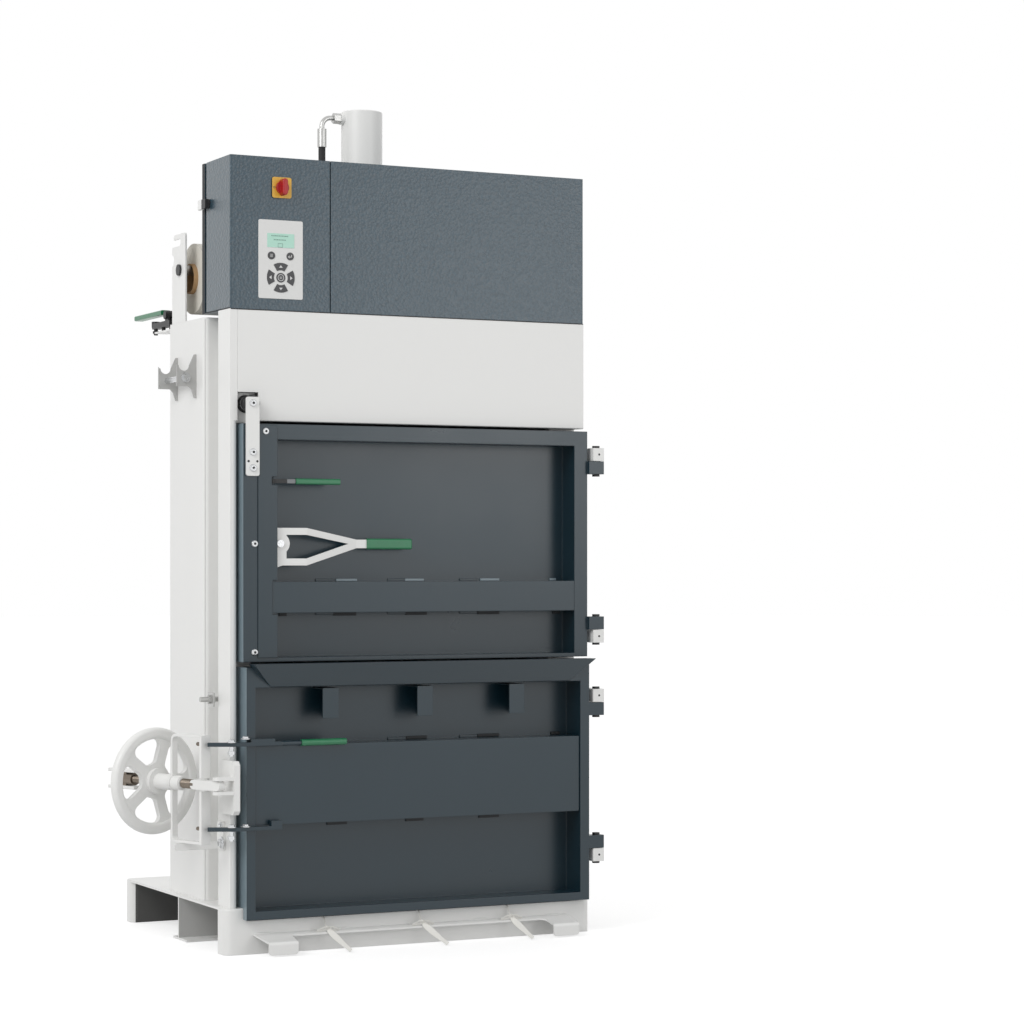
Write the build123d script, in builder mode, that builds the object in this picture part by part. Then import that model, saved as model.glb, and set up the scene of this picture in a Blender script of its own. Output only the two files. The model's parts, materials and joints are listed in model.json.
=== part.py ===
"""Vertical baling press for cardboard and film, in millimetres.

+X runs to the right along the front, +Y to the back and +Z up. The origin lies on the floor, under the
middle of the front plane that the white panel and the dark hood share.
"""
import os
from math import cos, radians, sin, tan

from build123d import *

os.makedirs("parts", exist_ok=True)

# Body and shared clearances
body_half = 453.7
wall = 4.0
sheet = 3.0
cover_sheet = 2.5
running_gap = 0.5
pin_clearance = 0.06
cut = 30.0

# Base
base_overhang = 15.5
base_half = body_half + base_overhang
base_front = -6.0
base_rear = 690.0
base_height = 105.0
base_plate = 5.0
front_beam_depth = 60.0
rear_beam_depth = 52.0
beam_corner = 18.0
beam_edge = 4.0
web_front = 298.0
web_flange_front = 53.0
web_flange_back = 34.0
sill_inset = 40.7
sill_left = sill_inset - body_half
sill_gap = 5.0
sill_height = 76.0

# Strap shelf below the lower door
shelf_left_inset = 53.0
shelf_left = shelf_left_inset - body_half
shelf_right_inset = 51.7
shelf_right = body_half - shelf_right_inset
shelf_taper = 12.0
shelf_back_height = 46.0
shelf_front = -76.0
shelf_front_height = 33.0
shelf_sheet = 4.0
shelf_foot_bottom = 4.0
shelf_foot_width = 83.0
shelf_right_foot_width = 68.0
shelf_foot_corner = 8.0
shelf_bend = 8.0
shelf_set_back = -28.0
shelf_corner = 14.0
strap_slot_length = 34.0
strap_slot_width = 7.0
strap_slot_y = -16.0
strap_places = (-229.0, 11.0, 243.0)

# Door heights
lower_lip_bottom = 80.0
lower_top = 652.0
upper_bottom = 664.0
upper_top = 1205.0

# Chamber, posts and columns
column_width = 65.0
chamber_half = body_half - column_width
door_seat = 48.0
chamber_back = 560.0
header_thickness = 5.0
head_drop = 7.0
head_thickness = 20.0
panel_height = 254.0
panel_gap = 7.0
panel_bottom = upper_top + panel_gap
post_top = panel_bottom + panel_height
head_top = post_top - head_drop
post_width = 17.7
post_inner = body_half - post_width
post_back = 77.0
post_corner = 5.0
post_inner_corner = 11.0
post_joint_corner = 1.0
column_front = 169.0
column_back = 413.0
column_corner = 14.0

# Front panel
panel_left = -post_inner
panel_corner = 2.5
notch_inset = 67.7
notch_right = notch_inset - body_half
notch_rise = 72.0
notch_top = upper_top + notch_rise

# Hood
hood_height = 349.0
hood_top = post_top + hood_height
hood_depth = 164.0
hood_back = 182.0
hood_corner = 4.0
control_cover_width = 244.2
groove_left = control_cover_width - body_half
groove_width = 2.5
groove_right = groove_left + groove_width
partition_thickness = 5.0
cover_depth = 154.0

# Control panel and main switch
panel_plate_inset = 67.7
panel_plate_left = panel_plate_inset - body_half
panel_plate_width = 108.5
panel_plate_right = panel_plate_left + panel_plate_width
panel_plate_rise = 26.0
panel_plate_bottom = post_top + panel_plate_rise
panel_plate_height = 179.5
panel_plate_top = panel_plate_bottom + panel_plate_height
panel_plate_thickness = 2.0
panel_plate_corner = 4.0
window_width = 66.0
window_height = 32.0
window_drop = 46.5
window_z = panel_plate_top - window_drop
window_raise = 0.6
key_raise = 0.8
key_radius = 9.0
key_spread = 23.0
key_row_drop = 81.5
key_row_z = panel_plate_top - key_row_drop
ring_drop = 131.2
ring_z = panel_plate_top - ring_drop
ring_outer = 34.0
ring_inner = 17.0
ring_key_angle = 62.0
ring_middle_radius = 11.0
switch_inset = 124.2
switch_x = switch_inset - body_half
switch_rise = 74.5
switch_z = panel_plate_top + switch_rise
switch_plate_size = 47.5
switch_plate_thickness = 3.0
switch_plate_corner = 5.0
knob_radius = 15.0
knob_depth = 7.0
knob_grip_length = 38.0
knob_grip_width = 13.0
knob_grip_depth = 17.0
knob_axle_radius = 4.0

# Quarter-turn latch on the side of the control cover
latch_y = 138.0
latch_rise = 252.0
latch_z = post_top + latch_rise
latch_base_radius = 11.0
latch_base_depth = 4.0
latch_wing_length = 48.0
latch_wing_width = 22.0
latch_wing_offset = 16.0
latch_wing_corner = 4.0
latch_wing_depth = 8.0

# Press cylinder, rod and press plate
cylinder_y = 295.0
cylinder_length = 526.0
cylinder_top = head_top + cylinder_length
cylinder_radius = 50.0
cylinder_bore = 42.0
cylinder_cap = 20.0
cylinder_flange_radius = 78.0
cylinder_flange = 15.0
gland_length = 40.0
cylinder_chamfer = 2.0
rod_radius = 25.0
head_hole_radius = 32.0
piston_length = 36.0
piston_clearance = 0.4
piston_top_gap = 4.0
press_gap = 10.7
press_half = chamber_half - wall - press_gap
press_front = 62.0
press_back = 544.0
press_rise = 4.0
press_bottom = panel_bottom + press_rise
press_thickness = 10.0
rib_height = 64.0
rib_thickness = 10.0
rib_inset = 90.0
rib_spacing = 190.0
boss_radius = 42.0
strap_groove_width = 26.0
strap_groove_depth = 5.0

# Hydraulic line and power unit
port_drop = 19.0
port_z = cylinder_top - port_drop
port_boss_radius = 14.0
port_boss_length = 8.0
fitting_hex = 13.0
fitting_length = 18.0
tube_radius = 6.0
hose_x = -105.0
elbow_radius = 22.0
elbow_drop = 28.0
elbow_bottom = port_z - elbow_drop
ferrule_radius = 11.0
ferrule_length = 44.0
hose_radius = 8.5
hose_entry_drop = 125.0
hose_entry_z = hood_top - hose_entry_drop
hose_bend = 85.0
motor_radius = 66.0
motor_gap = 3.0
motor_length = 250.0
motor_y = 84.0
motor_foot_height = 10.0
motor_foot_depth = 110.0
motor_end_length = 26.0
motor_left = groove_right + cover_sheet + running_gap + partition_thickness + motor_gap + motor_end_length
motor_end_radius = 58.0
tank_gap = 30.0
tank_left = motor_left + motor_length + tank_gap
tank_inset = 23.7
tank_right = body_half - tank_inset
tank_front = 14.0
tank_back = 158.0
tank_height = 210.0
tank_corner = 12.0
filler_radius = 18.0
filler_height = 22.0

# Strap reel behind the hood
reel_y = 335.0
reel_rise = 125.0
reel_z = head_top + reel_rise
reel_plate = 4.0
reel_plate_front = 296.0
reel_plate_back = 387.0
reel_plate_height = 211.0
reel_plate_top = head_top + reel_plate_height
reel_hook_drop = 20.0
reel_hook_z = reel_plate_top - reel_hook_drop
reel_hook_gap = 17.0
reel_hook_reach = 58.0
reel_hook_trim = 11.0
reel_dent_radius = 13.0
reel_dent_drop = 60.0
reel_dent_z = reel_plate_top - reel_dent_drop
reel_corner = 9.0
reel_lip_corner = 5.0
axle_radius = 12.5
plug_radius = 13.5
plug_depth = 5.0
roll_count = 3
roll_inset = 33.7
roll_left = roll_inset - body_half
reel_from_middle = 102.0
reel_right = -reel_from_middle
roll_pitch = (reel_right - roll_left) / roll_count
roll_gap = 20.0
roll_width = roll_pitch - roll_gap
roll_radius = 84.0
core_radius = 36.0
core_wall = 3.5
core_overhang = 10.0
core_gap = 0.1
seat_gap = 0.3

# Notched holder plates on the left column
holder_ys = (220.0, 346.0)
holder_drop = 134.0
holder_z = head_top - holder_drop
holder_reach = 48.5
holder_half_height = 51.0
holder_strip = 12.0
holder_plate = 4.0
holder_floor = 24.0
holder_tip = 28.0
holder_notch_radius = 13.0
holder_notch_x = 31.0
holder_notch_z = 25.0
holder_corner = 8.0
holder_bolt_x = 27.0
holder_bolt_z = -4.0
holder_bolt_radius = 4.0
holder_spacer_radius = 7.0
holder_head_radius = 8.0
holder_washer_radius = 11.5
holder_washer = 2.5
holder_head = 6.0

# Strap clamp at the back of the left column
clamp_plate_inset = 1.7
clamp_plate_left = clamp_plate_inset - body_half
clamp_plate_width = 34.0
clamp_plate_right = clamp_plate_left + clamp_plate_width
clamp_plate_drop = 13.0
clamp_plate_z = head_top - clamp_plate_drop
clamp_plate_reach = 104.0
clamp_base_front = 432.0
clamp_base_back = 556.0
clamp_base_rise = 14.0
clamp_base_bottom = clamp_plate_z + clamp_base_rise
clamp_base_height = 14.0
clamp_base_top = clamp_base_bottom + clamp_base_height
clamp_stud_radius = 5.0
clamp_stud_ys = (446.0, 500.0)
clamp_foot_radius = 10.5
clamp_foot_rise = 5.0
clamp_foot_bottom = clamp_base_bottom + clamp_foot_rise
clamp_foot_height = 14.0
clamp_foot_top = clamp_foot_bottom + clamp_foot_height
clamp_screw_length = 19.0
clamp_screw_bottom = clamp_foot_bottom - clamp_screw_length
clamp_nut_radius = 8.0
clamp_nut_rise = 4.0
clamp_nut_bottom = clamp_screw_bottom + clamp_nut_rise
clamp_nut = 6.0
clamp_inset = 7.0
clamp_pivot_y = 452.0
clamp_pivot_rise = 13.0
clamp_pivot_z = clamp_base_top + clamp_pivot_rise
clamp_hub_radius = 11.0
clamp_knob_radius = 10.0
clamp_knob = 5.0
clamp_ear = 4.5
clamp_arm = 8.0
clamp_grip_start = 34.0
clamp_grip_end = 230.0
clamp_grip_width = 24.0
clamp_grip_height = 12.0
clamp_grip_lift = 9.0
clamp_grip_corner = 3.0

# Hinges at the right
hinge_offset = 25.8
hinge_x = body_half + hinge_offset
hinge_y = -16.0
hinge_half_x = 14.5
hinge_half_y = 14.0
hinge_height = 31.0
hinge_arm_inset = 5.5
hinge_arm_left = hinge_x - hinge_arm_inset
hinge_foot_front = 53.0
hinge_pin_radius = 6.0
hinge_cap_radius = 9.0
hinge_cap = 5.0
upper_hinge_drop = 71.0
upper_hinge_rise = 64.5
upper_hinge_splits = (upper_top - upper_hinge_drop, upper_bottom + upper_hinge_rise)
lower_hinge_drop = 98.0
lower_hinge_rise = 122.3
lower_hinge_splits = (lower_top - lower_hinge_drop, lower_lip_bottom + lower_hinge_rise)

# Upper door
upper_inset = 23.7
upper_left = upper_inset - body_half
upper_front = -20.0
door_back = 45.0
upper_top_bar = 35.0
upper_bottom_bar = 9.0
upper_right_stile = 35.0
upper_left_stile = 82.0
upper_bar_rise = 111.0
upper_bar_bottom = upper_bottom + upper_bar_rise
upper_bar_height = 71.0
upper_bar_top = upper_bar_bottom + upper_bar_height
bar_clearance = 0.5
tab_length = 46.0
tab_height = 6.0
tab_depth = 3.0
tab_places = (-205.0, -22.0, 165.0)
stile_cover_inset = 35.0
stile_cover_left = upper_left + stile_cover_inset
stile_cover_sheet = 2.5
stile_notch = 12.0
stile_notch_overlap = 4.0

# Interlock strap at the top left of the upper door
strap_inset = 4.5
strap_left = upper_left + strap_inset
strap_width = 32.0
strap_right = strap_left + strap_width
strap_drop = 119.0
strap_bottom = upper_top - strap_drop
strap_rise = 60.0
strap_top = upper_top + strap_rise
strap_thickness = 5.0
strap_corner = 5.0
strap_bolt_rise = 46.0
strap_bolt_z = upper_top + strap_bolt_rise
strap_hole_radius = 2.5
strap_hole_spread = 11.0
strap_hole_drop = 86.0
strap_hole_z = upper_top - strap_hole_drop
buffer_radius = 19.0
buffer_ring_radius = 16.5
buffer_ring = 7.0
buffer_back = 32.0

# Fork lever of the upper door
lever_inset = 92.0
lever_x = upper_left + lever_inset
lever_rise = 87.0
lever_z = upper_bar_top + lever_rise
lever_sheet = 5.0
lever_front = -13.0
lever_depth = 26.0
lever_root = 24.0
lever_top = 36.0
lever_bottom = 50.0
lever_flare = 10.0
lever_flare_length = 30.0
lever_arm_width = 16.0
lever_bend = 66.0
lever_bend_x = lever_x + lever_bend
lever_meet = 201.0
lever_meet_x = lever_x + lever_meet
lever_neck = 227.0
lever_neck_x = lever_x + lever_neck
lever_neck_half = 10.0
lever_window_end = 22.0
lever_boss_radius = 24.0
lever_pin_radius = 6.0
lever_head_radius = 8.5
lever_head = 5.0
lever_tongue = 70.0
lever_slot_half = 70.0
lever_slot_depth = 50.0
lever_slot_gap = 2.5
grip_length = 116.0
grip_end_x = lever_neck_x + grip_length
grip_half = 12.5
grip_thickness = 13.0
grip_corner = 5.0

# Small latch handle of the upper door
pull_inset = 77.0
pull_x = upper_left + pull_inset
pull_drop = 129.5
pull_z = upper_top - pull_drop
pull_y = -4.0
pull_bar = 5.0
pull_bar_height = 9.0
pull_root = 6.5
pull_reach = 56.5
pull_grip_start = pull_x + pull_reach
pull_grip_length = 109.5
pull_grip_end = pull_grip_start + pull_grip_length
pull_grip_height = 13.5
pull_grip_depth = 12.0
pull_grip_corner = 4.0
pull_slot_half = 9.5
pull_slot_root = 8.5
pull_slot_back = 9.0
pull_pin_radius = 3.0
pull_pin_bury = 6.0

# Lower door
lower_inset = 27.7
lower_left = lower_inset - body_half
lower_front = -30.0
lower_bottom_rise = 16.0
lower_bottom = lower_lip_bottom + lower_bottom_rise
lower_lip_back = -9.0
lower_left_stile = 22.0
lower_right_stile = 24.0
lower_bottom_bar = 19.0
lower_top_bar = 46.0
lower_bar_bottom = 294.0
lower_bar_top = 474.0
lower_bar_front = -26.0

# Chute lip and strap pockets of the lower door
lip_inset = 32.7
lip_left = lip_inset - body_half
lip_right = body_half
lip_rise = 8.5
lip_top = lower_top + lip_rise
lip_reach = 35.0
lip_height = 54.5
lip_bottom = lip_top - lip_height
lip_sheet = 4.0
lip_mitre = 54.0
pocket_lefts = (-237.0, 2.0, 242.0)
pocket_width = 40.0
pocket_gap = 4.0
pocket_top = lip_bottom - pocket_gap
pocket_height = 70.0
pocket_bottom = pocket_top - pocket_height
pocket_front = -24.0

# Lock arms on the lower door
arm_width = 14.0
arm_height = 9.0
arm_inset = 81.0
arm_right = lower_left + arm_inset
arm_turn_offset = 1.3
arm_turn_x = -body_half - arm_turn_offset
arm_turn_radius = 20.0
upper_arm_z = 475.0
lower_arm_z = 284.0
arm_tip_width = 26.0
arm_tip_height = 12.0
arm_plate_length = 58.0
arm_plate_inset = 17.0
arm_plate = 7.0
handle_rod_radius = 5.0
handle_rod_length = 49.0
handle_rod_end = arm_right + handle_rod_length
handle_grip_length = 112.0
handle_grip_end = handle_rod_end + handle_grip_length
handle_grip_radius = 7.5
handle_grip_corner = 3.0

# Screw clamp at the lower left
clamp_offset = 44.3
clamp_x = -body_half - clamp_offset
clamp_y = -47.0
clamp_z = 388.0
clamp_angle = 20.0
block_thickness = 14.0
block_front = -62.0
block_back = 30.0
block_bottom = 322.0
block_top = 443.0
block_chamfer = 9.0
lug_reach = 14.0
lug_left = clamp_x - lug_reach
lug_width = 26.0
lug_plate = 8.0
eye_height = 22.0
eye_width = 18.0
eye_start = -11.0
eye_end = 92.0
eye_gap = 1.0
eye_pin_radius = 5.0
spindle_radius = 9.7
spindle_end = 252.0
yoke_front = 46.0
yoke_back = 160.0
yoke_bar = 8.0
yoke_strip = 6.0
yoke_width = 26.0
yoke_strip_width = 15.0
yoke_collar_radius = 18.0
yoke_bottom = 253.0
yoke_top = 500.0
yoke_corner = 16.0
yoke_slot_half = 15.0
yoke_slot_far = 10.0
sleeve_radius = 13.0
sleeve_bore = 10.1
sleeve_start = 125.0
sleeve_gap = 0.5
wheel_place = 228.0
wheel_radius = 123.0
rim_width = 27.0
rim_thickness = 22.0
rim_corner = 9.0
web_thickness = 13.0
hub_radius = 30.0
hub_length = 38.0
window_inner = 40.0
window_outer = 97.0
window_corner = 15.0
spoke_width = 26.0
spoke_count = 5
arm_end_gap = 6.5

# Rest below the yoke
rest_height = 17.0
rest_plate = 5.0
rest_reach = 109.3
rest_left = -body_half - rest_reach
rest_y = 66.0
rest_foot_front = 32.0
rest_foot_top = 300.0
rest_corner = 8.0

# Door switch on the left post
sensor_z = 576.0
sensor_y = 96.0
sensor_reach = 37.3
sensor_left = -body_half - sensor_reach
sensor_inset = 15.7
sensor_right = sensor_inset - body_half
sensor_radius = 6.0
sensor_nut_radius = 10.0
sensor_nut = 6.0
sensor_plate = 4.0
sensor_plate_offset = 12.3
sensor_plate_left = -body_half - sensor_plate_offset
sensor_plate_half = 16.0
cable_radius = 2.6
cable_inset = 39.7
cable_x = cable_inset - body_half
cable_rise = 62.0
cable_bend = 18.0

# Loose strap ends: radius of the plain tubes, their route from each strap place and each one's reach
strap_tube_radius = 2.0
strap_route = (
    (0.0, 10.0, 78.0),
    (0.0, -11.0, 78.0),
    (1.0, -15.0, 62.0),
    (3.0, -24.0, 49.0),
    (12.0, -42.0, 37.0),
    (26.0, -65.0, 19.0),
    (38.0, -86.0, 5.0),
)
strap_reach_shares = (0.95, 1.06, 0.80)

# Places worked out from the sizes above
wall_inner = chamber_half - wall
head_bottom = head_top - head_thickness
panel_face = door_back - sheet
upper_right = body_half
upper_stile_inner = upper_left + upper_left_stile
upper_right_inner = body_half - upper_right_stile
lower_stile_inner = lower_left + lower_left_stile
lower_right_inner = body_half - lower_right_stile
roll_z = reel_z + axle_radius + seat_gap - (core_radius - core_wall)
clamp_along = (-sin(radians(clamp_angle)), cos(radians(clamp_angle)), 0)
clamp_across = (cos(radians(clamp_angle)), sin(radians(clamp_angle)), 0)
clamp_origin = (clamp_x, clamp_y, clamp_z)
side_plane = Plane(origin=clamp_origin, x_dir=clamp_along, z_dir=clamp_across)
axis_plane = Plane(origin=clamp_origin, x_dir=clamp_across, z_dir=clamp_along)


def block(x_low, x_high, y_low, y_high, z_low, z_high, mode=Mode.ADD):
    """Add or cut a square-edged block between six limits."""
    middle = ((x_low + x_high) / 2, (y_low + y_high) / 2, (z_low + z_high) / 2)
    with Locations(middle):
        Box(x_high - x_low, y_high - y_low, z_high - z_low, mode=mode)


def along_clamp(distance, across=0.0):
    """Give the plan point at a distance along the spindle and across it."""
    x_place = clamp_x + distance * clamp_along[0] + across * clamp_across[0]
    y_place = clamp_y + distance * clamp_along[1] + across * clamp_across[1]
    return (x_place, y_place)


def finish(builder, label):
    """Label a finished piece and write it."""
    builder.part.label = label
    export_step(builder.part, f"parts/{label}.step")


# Base with two closed beams, a top plate and a flanged middle web
with BuildPart() as base_frame:
    with BuildSketch():
        with Locations((0, base_front + front_beam_depth / 2)):
            RectangleRounded(2 * base_half, front_beam_depth, beam_corner)
        with Locations((0, base_rear - rear_beam_depth / 2)):
            RectangleRounded(2 * base_half, rear_beam_depth, beam_corner)
    extrude(amount=base_height)
    fillet(base_frame.faces().filter_by(Axis.Z).group_by(Axis.Z)[-1].edges(), beam_edge)
    plate_front = base_front + front_beam_depth / 2
    plate_back = base_rear - rear_beam_depth / 2
    block(-base_half, base_half, plate_front, plate_back, base_height - base_plate, base_height)
    web_back = web_front + base_plate
    block(-base_half, base_half, web_front, web_back, 0, base_height)
    block(-base_half, base_half, web_front - web_flange_front, web_back + web_flange_back, 0, base_plate)
    # The front beam is lower where the lower door hangs in front of it
    block(sill_left, base_half + cut, base_front - cut, door_seat, sill_height, base_height + cut,
          mode=Mode.SUBTRACT)
finish(base_frame, "base_frame")

# Folded shelf with two feet and three strap slots
with BuildPart() as strap_shelf:
    with BuildSketch(Plane.YZ.offset(shelf_left)) as shelf_section:
        with BuildLine():
            Polyline(
                (base_front, shelf_back_height),
                (shelf_front, shelf_front_height),
                (shelf_front, shelf_foot_bottom),
                (shelf_front + shelf_sheet, shelf_foot_bottom),
                (shelf_front + shelf_sheet, shelf_front_height - shelf_sheet),
                (base_front, shelf_back_height - shelf_sheet),
                close=True,
            )
        make_face()
        shelf_nose = shelf_section.vertices().group_by(Axis.X)[0].sort_by(Axis.Y)[-1]
        fillet(shelf_nose, shelf_bend)
    extrude(amount=shelf_right - shelf_left)
    with BuildSketch(Plane.XY):
        gap_left = shelf_left + shelf_foot_width
        gap_right = shelf_right - shelf_right_foot_width
        with Locations(((gap_left + gap_right) / 2, shelf_front)):
            RectangleRounded(gap_right - gap_left, 2 * (shelf_set_back - shelf_front), shelf_corner)
        with Locations([(place, strap_slot_y) for place in strap_places]):
            SlotOverall(strap_slot_length, strap_slot_width)
        with BuildLine():
            Polyline(
                (shelf_left, base_front),
                (shelf_left + shelf_taper, shelf_front),
                (shelf_left, shelf_front),
                close=True,
            )
        make_face()
    extrude(amount=shelf_back_height + cut, mode=Mode.SUBTRACT)
    foot_corners = strap_shelf.faces().filter_by(Axis.Z).group_by(Axis.Z)[0].edges()
    fillet(foot_corners.filter_by(lambda edge: edge.length < 2 * shelf_sheet), shelf_foot_corner)
finish(strap_shelf, "strap_shelf")

# Press chamber: two side walls, a back wall and a header above the doors
with BuildPart() as chamber_shell:
    with BuildSketch(Plane.XY.offset(base_height)):
        with Locations((0, (door_seat + chamber_back) / 2)):
            Rectangle(2 * chamber_half, chamber_back - door_seat)
        with Locations((0, (door_seat + chamber_back) / 2 - wall)):
            Rectangle(2 * wall_inner, chamber_back - door_seat, mode=Mode.SUBTRACT)
    extrude(amount=head_top - base_height)
    header_back = door_seat + header_thickness
    block(-chamber_half, chamber_half, door_seat, header_back, panel_bottom, head_bottom)
finish(chamber_shell, "chamber_shell")

# Left front post, folded round the edge of the doors and square beside the panel
with BuildPart() as left_post:
    for run_bottom, run_top, inner_corner in (
        (base_height, panel_bottom, post_inner_corner),
        (panel_bottom, post_top, post_joint_corner),
    ):
        with BuildSketch(Plane.XY.offset(run_bottom)) as left_post_section:
            with BuildLine():
                Polyline(
                    (-body_half, 0),
                    (-post_inner, 0),
                    (-post_inner, door_seat),
                    (-chamber_half, door_seat),
                    (-chamber_half, post_back),
                    (-body_half, post_back),
                    close=True,
                )
            make_face()
            post_front_corners = left_post_section.vertices().group_by(Axis.Y)[0].sort_by(Axis.X)
            fillet(post_front_corners[-1], inner_corner)
            fillet(post_front_corners[0], post_corner)
        extrude(amount=run_top - run_bottom)
finish(left_post, "left_post")

# Right front post behind the hinged edge of the doors
with BuildPart() as right_post:
    with BuildSketch(Plane.XY.offset(base_height)) as right_post_section:
        with Locations(((body_half + chamber_half) / 2, (door_seat + post_back) / 2)):
            Rectangle(body_half - chamber_half, post_back - door_seat)
        fillet(right_post_section.vertices().group_by(Axis.X)[-1].group_by(Axis.Y)[-1], post_corner)
    extrude(amount=post_top - base_height)
finish(right_post, "right_post")

# Folded side columns; the left one carries the plate of the strap clamp
with BuildPart() as side_columns:
    with BuildSketch(Plane.XY.offset(base_height)) as column_section:
        with Locations((-(body_half + chamber_half) / 2, (column_front + column_back) / 2)):
            Rectangle(body_half - chamber_half, column_back - column_front)
        fillet(column_section.vertices().group_by(Axis.X)[0], column_corner)
    extrude(amount=head_top - base_height)
    block(wall - body_half, -chamber_half, column_front + wall, column_back - wall, base_height - cut,
          head_top - wall, mode=Mode.SUBTRACT)
    mirror(about=Plane.YZ)
    block(clamp_plate_left, clamp_plate_right, column_back - wall, column_back + clamp_plate_reach,
          clamp_plate_z, clamp_plate_z + wall)
finish(side_columns, "side_columns")

# Thick head plate that carries the press cylinder
with BuildPart() as head_plate:
    head_front = door_seat + header_thickness
    head_back = chamber_back - wall
    block(-wall_inner, wall_inner, head_front, head_back, head_bottom, head_top)
    with Locations((0, cylinder_y, head_top)):
        Hole(head_hole_radius, depth=2 * head_thickness)
finish(head_plate, "head_plate")

# White front panel with folded edges and a corner left free for the interlock
with BuildPart() as front_panel:
    block(panel_left, body_half, 0, door_seat, panel_bottom, post_top)
    fillet(front_panel.edges().filter_by(Axis.X).group_by(Axis.Y)[0], panel_corner)
    block(panel_left - cut, body_half - sheet, sheet, door_seat + cut, panel_bottom + sheet,
          post_top - sheet, mode=Mode.SUBTRACT)
    block(panel_left - cut, notch_right, -cut, door_seat + cut, panel_bottom - cut, notch_top,
          mode=Mode.SUBTRACT)
finish(front_panel, "front_panel")

# Floor, back and partition that hold the hood's covers
hood_floor_top = post_top + cover_sheet
with BuildPart() as hood_frame:
    with BuildSketch(Plane.YZ.offset(-body_half)):
        with BuildLine():
            Polyline(
                (cover_sheet + running_gap, post_top),
                (hood_back, post_top),
                (hood_back, hood_top),
                (hood_depth + running_gap, hood_top),
                (hood_depth + running_gap, hood_floor_top),
                (cover_sheet + running_gap, hood_floor_top),
                close=True,
            )
        make_face()
    extrude(amount=2 * body_half)
    block(sheet - body_half, body_half - sheet, hood_depth - cut, hood_back - sheet, hood_floor_top,
          hood_top - sheet, mode=Mode.SUBTRACT)
    partition_left = groove_right + cover_sheet + running_gap
    block(partition_left, partition_left + partition_thickness, cover_sheet + running_gap, hood_back,
          post_top, hood_top - cover_sheet - running_gap)
finish(hood_frame, "hood_frame")

# Right cover of the hood
cover_bottom = hood_floor_top + running_gap
with BuildPart() as right_cover:
    block(groove_right, body_half, 0, hood_depth, post_top, hood_top)
    fillet(right_cover.edges().filter_by(Axis.Z).group_by(Axis.Y)[0].sort_by(Axis.X)[-1], hood_corner)
    block(groove_right + cover_sheet, body_half - cover_sheet, cover_sheet, hood_depth + cut,
          post_top - cut, hood_top - cover_sheet, mode=Mode.SUBTRACT)
    block(groove_right - cut, body_half + cut, cover_sheet, hood_depth + cut, post_top - cut,
          cover_bottom, mode=Mode.SUBTRACT)
finish(right_cover, "right_cover")

# Control cover that wraps round the hood's left corner
with BuildPart() as control_cover:
    block(-body_half, groove_left, 0, cover_depth, post_top, hood_top)
    fillet(control_cover.edges().filter_by(Axis.Z).group_by(Axis.Y)[0].sort_by(Axis.X)[0], hood_corner)
    block(cover_sheet - body_half, groove_left + cut, cover_sheet, cover_depth + cut, post_top - cut,
          hood_top - cover_sheet, mode=Mode.SUBTRACT)
    block(-body_half - cut, groove_left + cut, cover_sheet, cover_depth + cut, post_top - cut,
          cover_bottom, mode=Mode.SUBTRACT)
    with Locations(Plane(origin=(switch_x, 0, switch_z), z_dir=(0, -1, 0))):
        Hole(knob_axle_radius + pin_clearance, depth=cut)
    with Locations(Plane(origin=(-body_half, latch_y, latch_z), z_dir=(-1, 0, 0))):
        Hole(knob_axle_radius + pin_clearance, depth=cut)
finish(control_cover, "control_cover")

# Membrane control panel: plate, window and embossed keys in one piece
panel_x = (panel_plate_left + panel_plate_right) / 2
panel_z = (panel_plate_bottom + panel_plate_top) / 2
with BuildPart() as control_panel:
    with BuildSketch(Plane(origin=(panel_x, 0, panel_z), x_dir=(1, 0, 0), z_dir=(0, -1, 0))):
        RectangleRounded(panel_plate_right - panel_plate_left, panel_plate_top - panel_plate_bottom,
                         panel_plate_corner)
    extrude(amount=panel_plate_thickness)
    panel_front = Plane(origin=(panel_x, -panel_plate_thickness, 0), x_dir=(1, 0, 0), z_dir=(0, -1, 0))
    with BuildSketch(panel_front):
        with Locations((0, window_z)):
            Rectangle(window_width, window_height)
    extrude(amount=window_raise)
    with BuildSketch(panel_front):
        with Locations((-key_spread, key_row_z), (key_spread, key_row_z)):
            Circle(key_radius)
        with Locations((0, ring_z)):
            Circle(ring_middle_radius)
            ring_middle = (ring_inner + ring_outer) / 2
            for quarter in range(4):
                quarter_turn = quarter * 90 - ring_key_angle / 2
                with BuildLine(mode=Mode.PRIVATE) as ring_line:
                    CenterArc((0, ring_z), ring_middle, quarter_turn, ring_key_angle)
                with Locations((0, -ring_z)):
                    trace(ring_line.line, ring_outer - ring_inner)
    extrude(amount=key_raise)
finish(control_panel, "control_panel")

# Main switch: square plate and rotary handle
switch_plane = Plane(origin=(switch_x, 0, switch_z), x_dir=(1, 0, 0), z_dir=(0, -1, 0))
with BuildPart() as switch_plate:
    with BuildSketch(switch_plane):
        RectangleRounded(switch_plate_size, switch_plate_size, switch_plate_corner)
        Circle(knob_axle_radius + pin_clearance, mode=Mode.SUBTRACT)
    extrude(amount=switch_plate_thickness)
finish(switch_plate, "switch_plate")

with BuildPart() as switch_knob:
    with BuildSketch(switch_plane.offset(-cover_sheet)):
        Circle(knob_axle_radius)
    extrude(amount=cover_sheet + switch_plate_thickness + seat_gap)
    knob_plane = switch_plane.offset(switch_plate_thickness + seat_gap)
    with BuildSketch(knob_plane):
        Circle(knob_radius)
    extrude(amount=knob_depth)
    with BuildSketch(knob_plane):
        SlotOverall(knob_grip_length, knob_grip_width, rotation=90)
    extrude(amount=knob_depth + knob_grip_depth)
    fillet(switch_knob.faces().sort_by(Axis.Y)[0].edges(), knob_grip_width / 4)
finish(switch_knob, "switch_knob")

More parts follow.
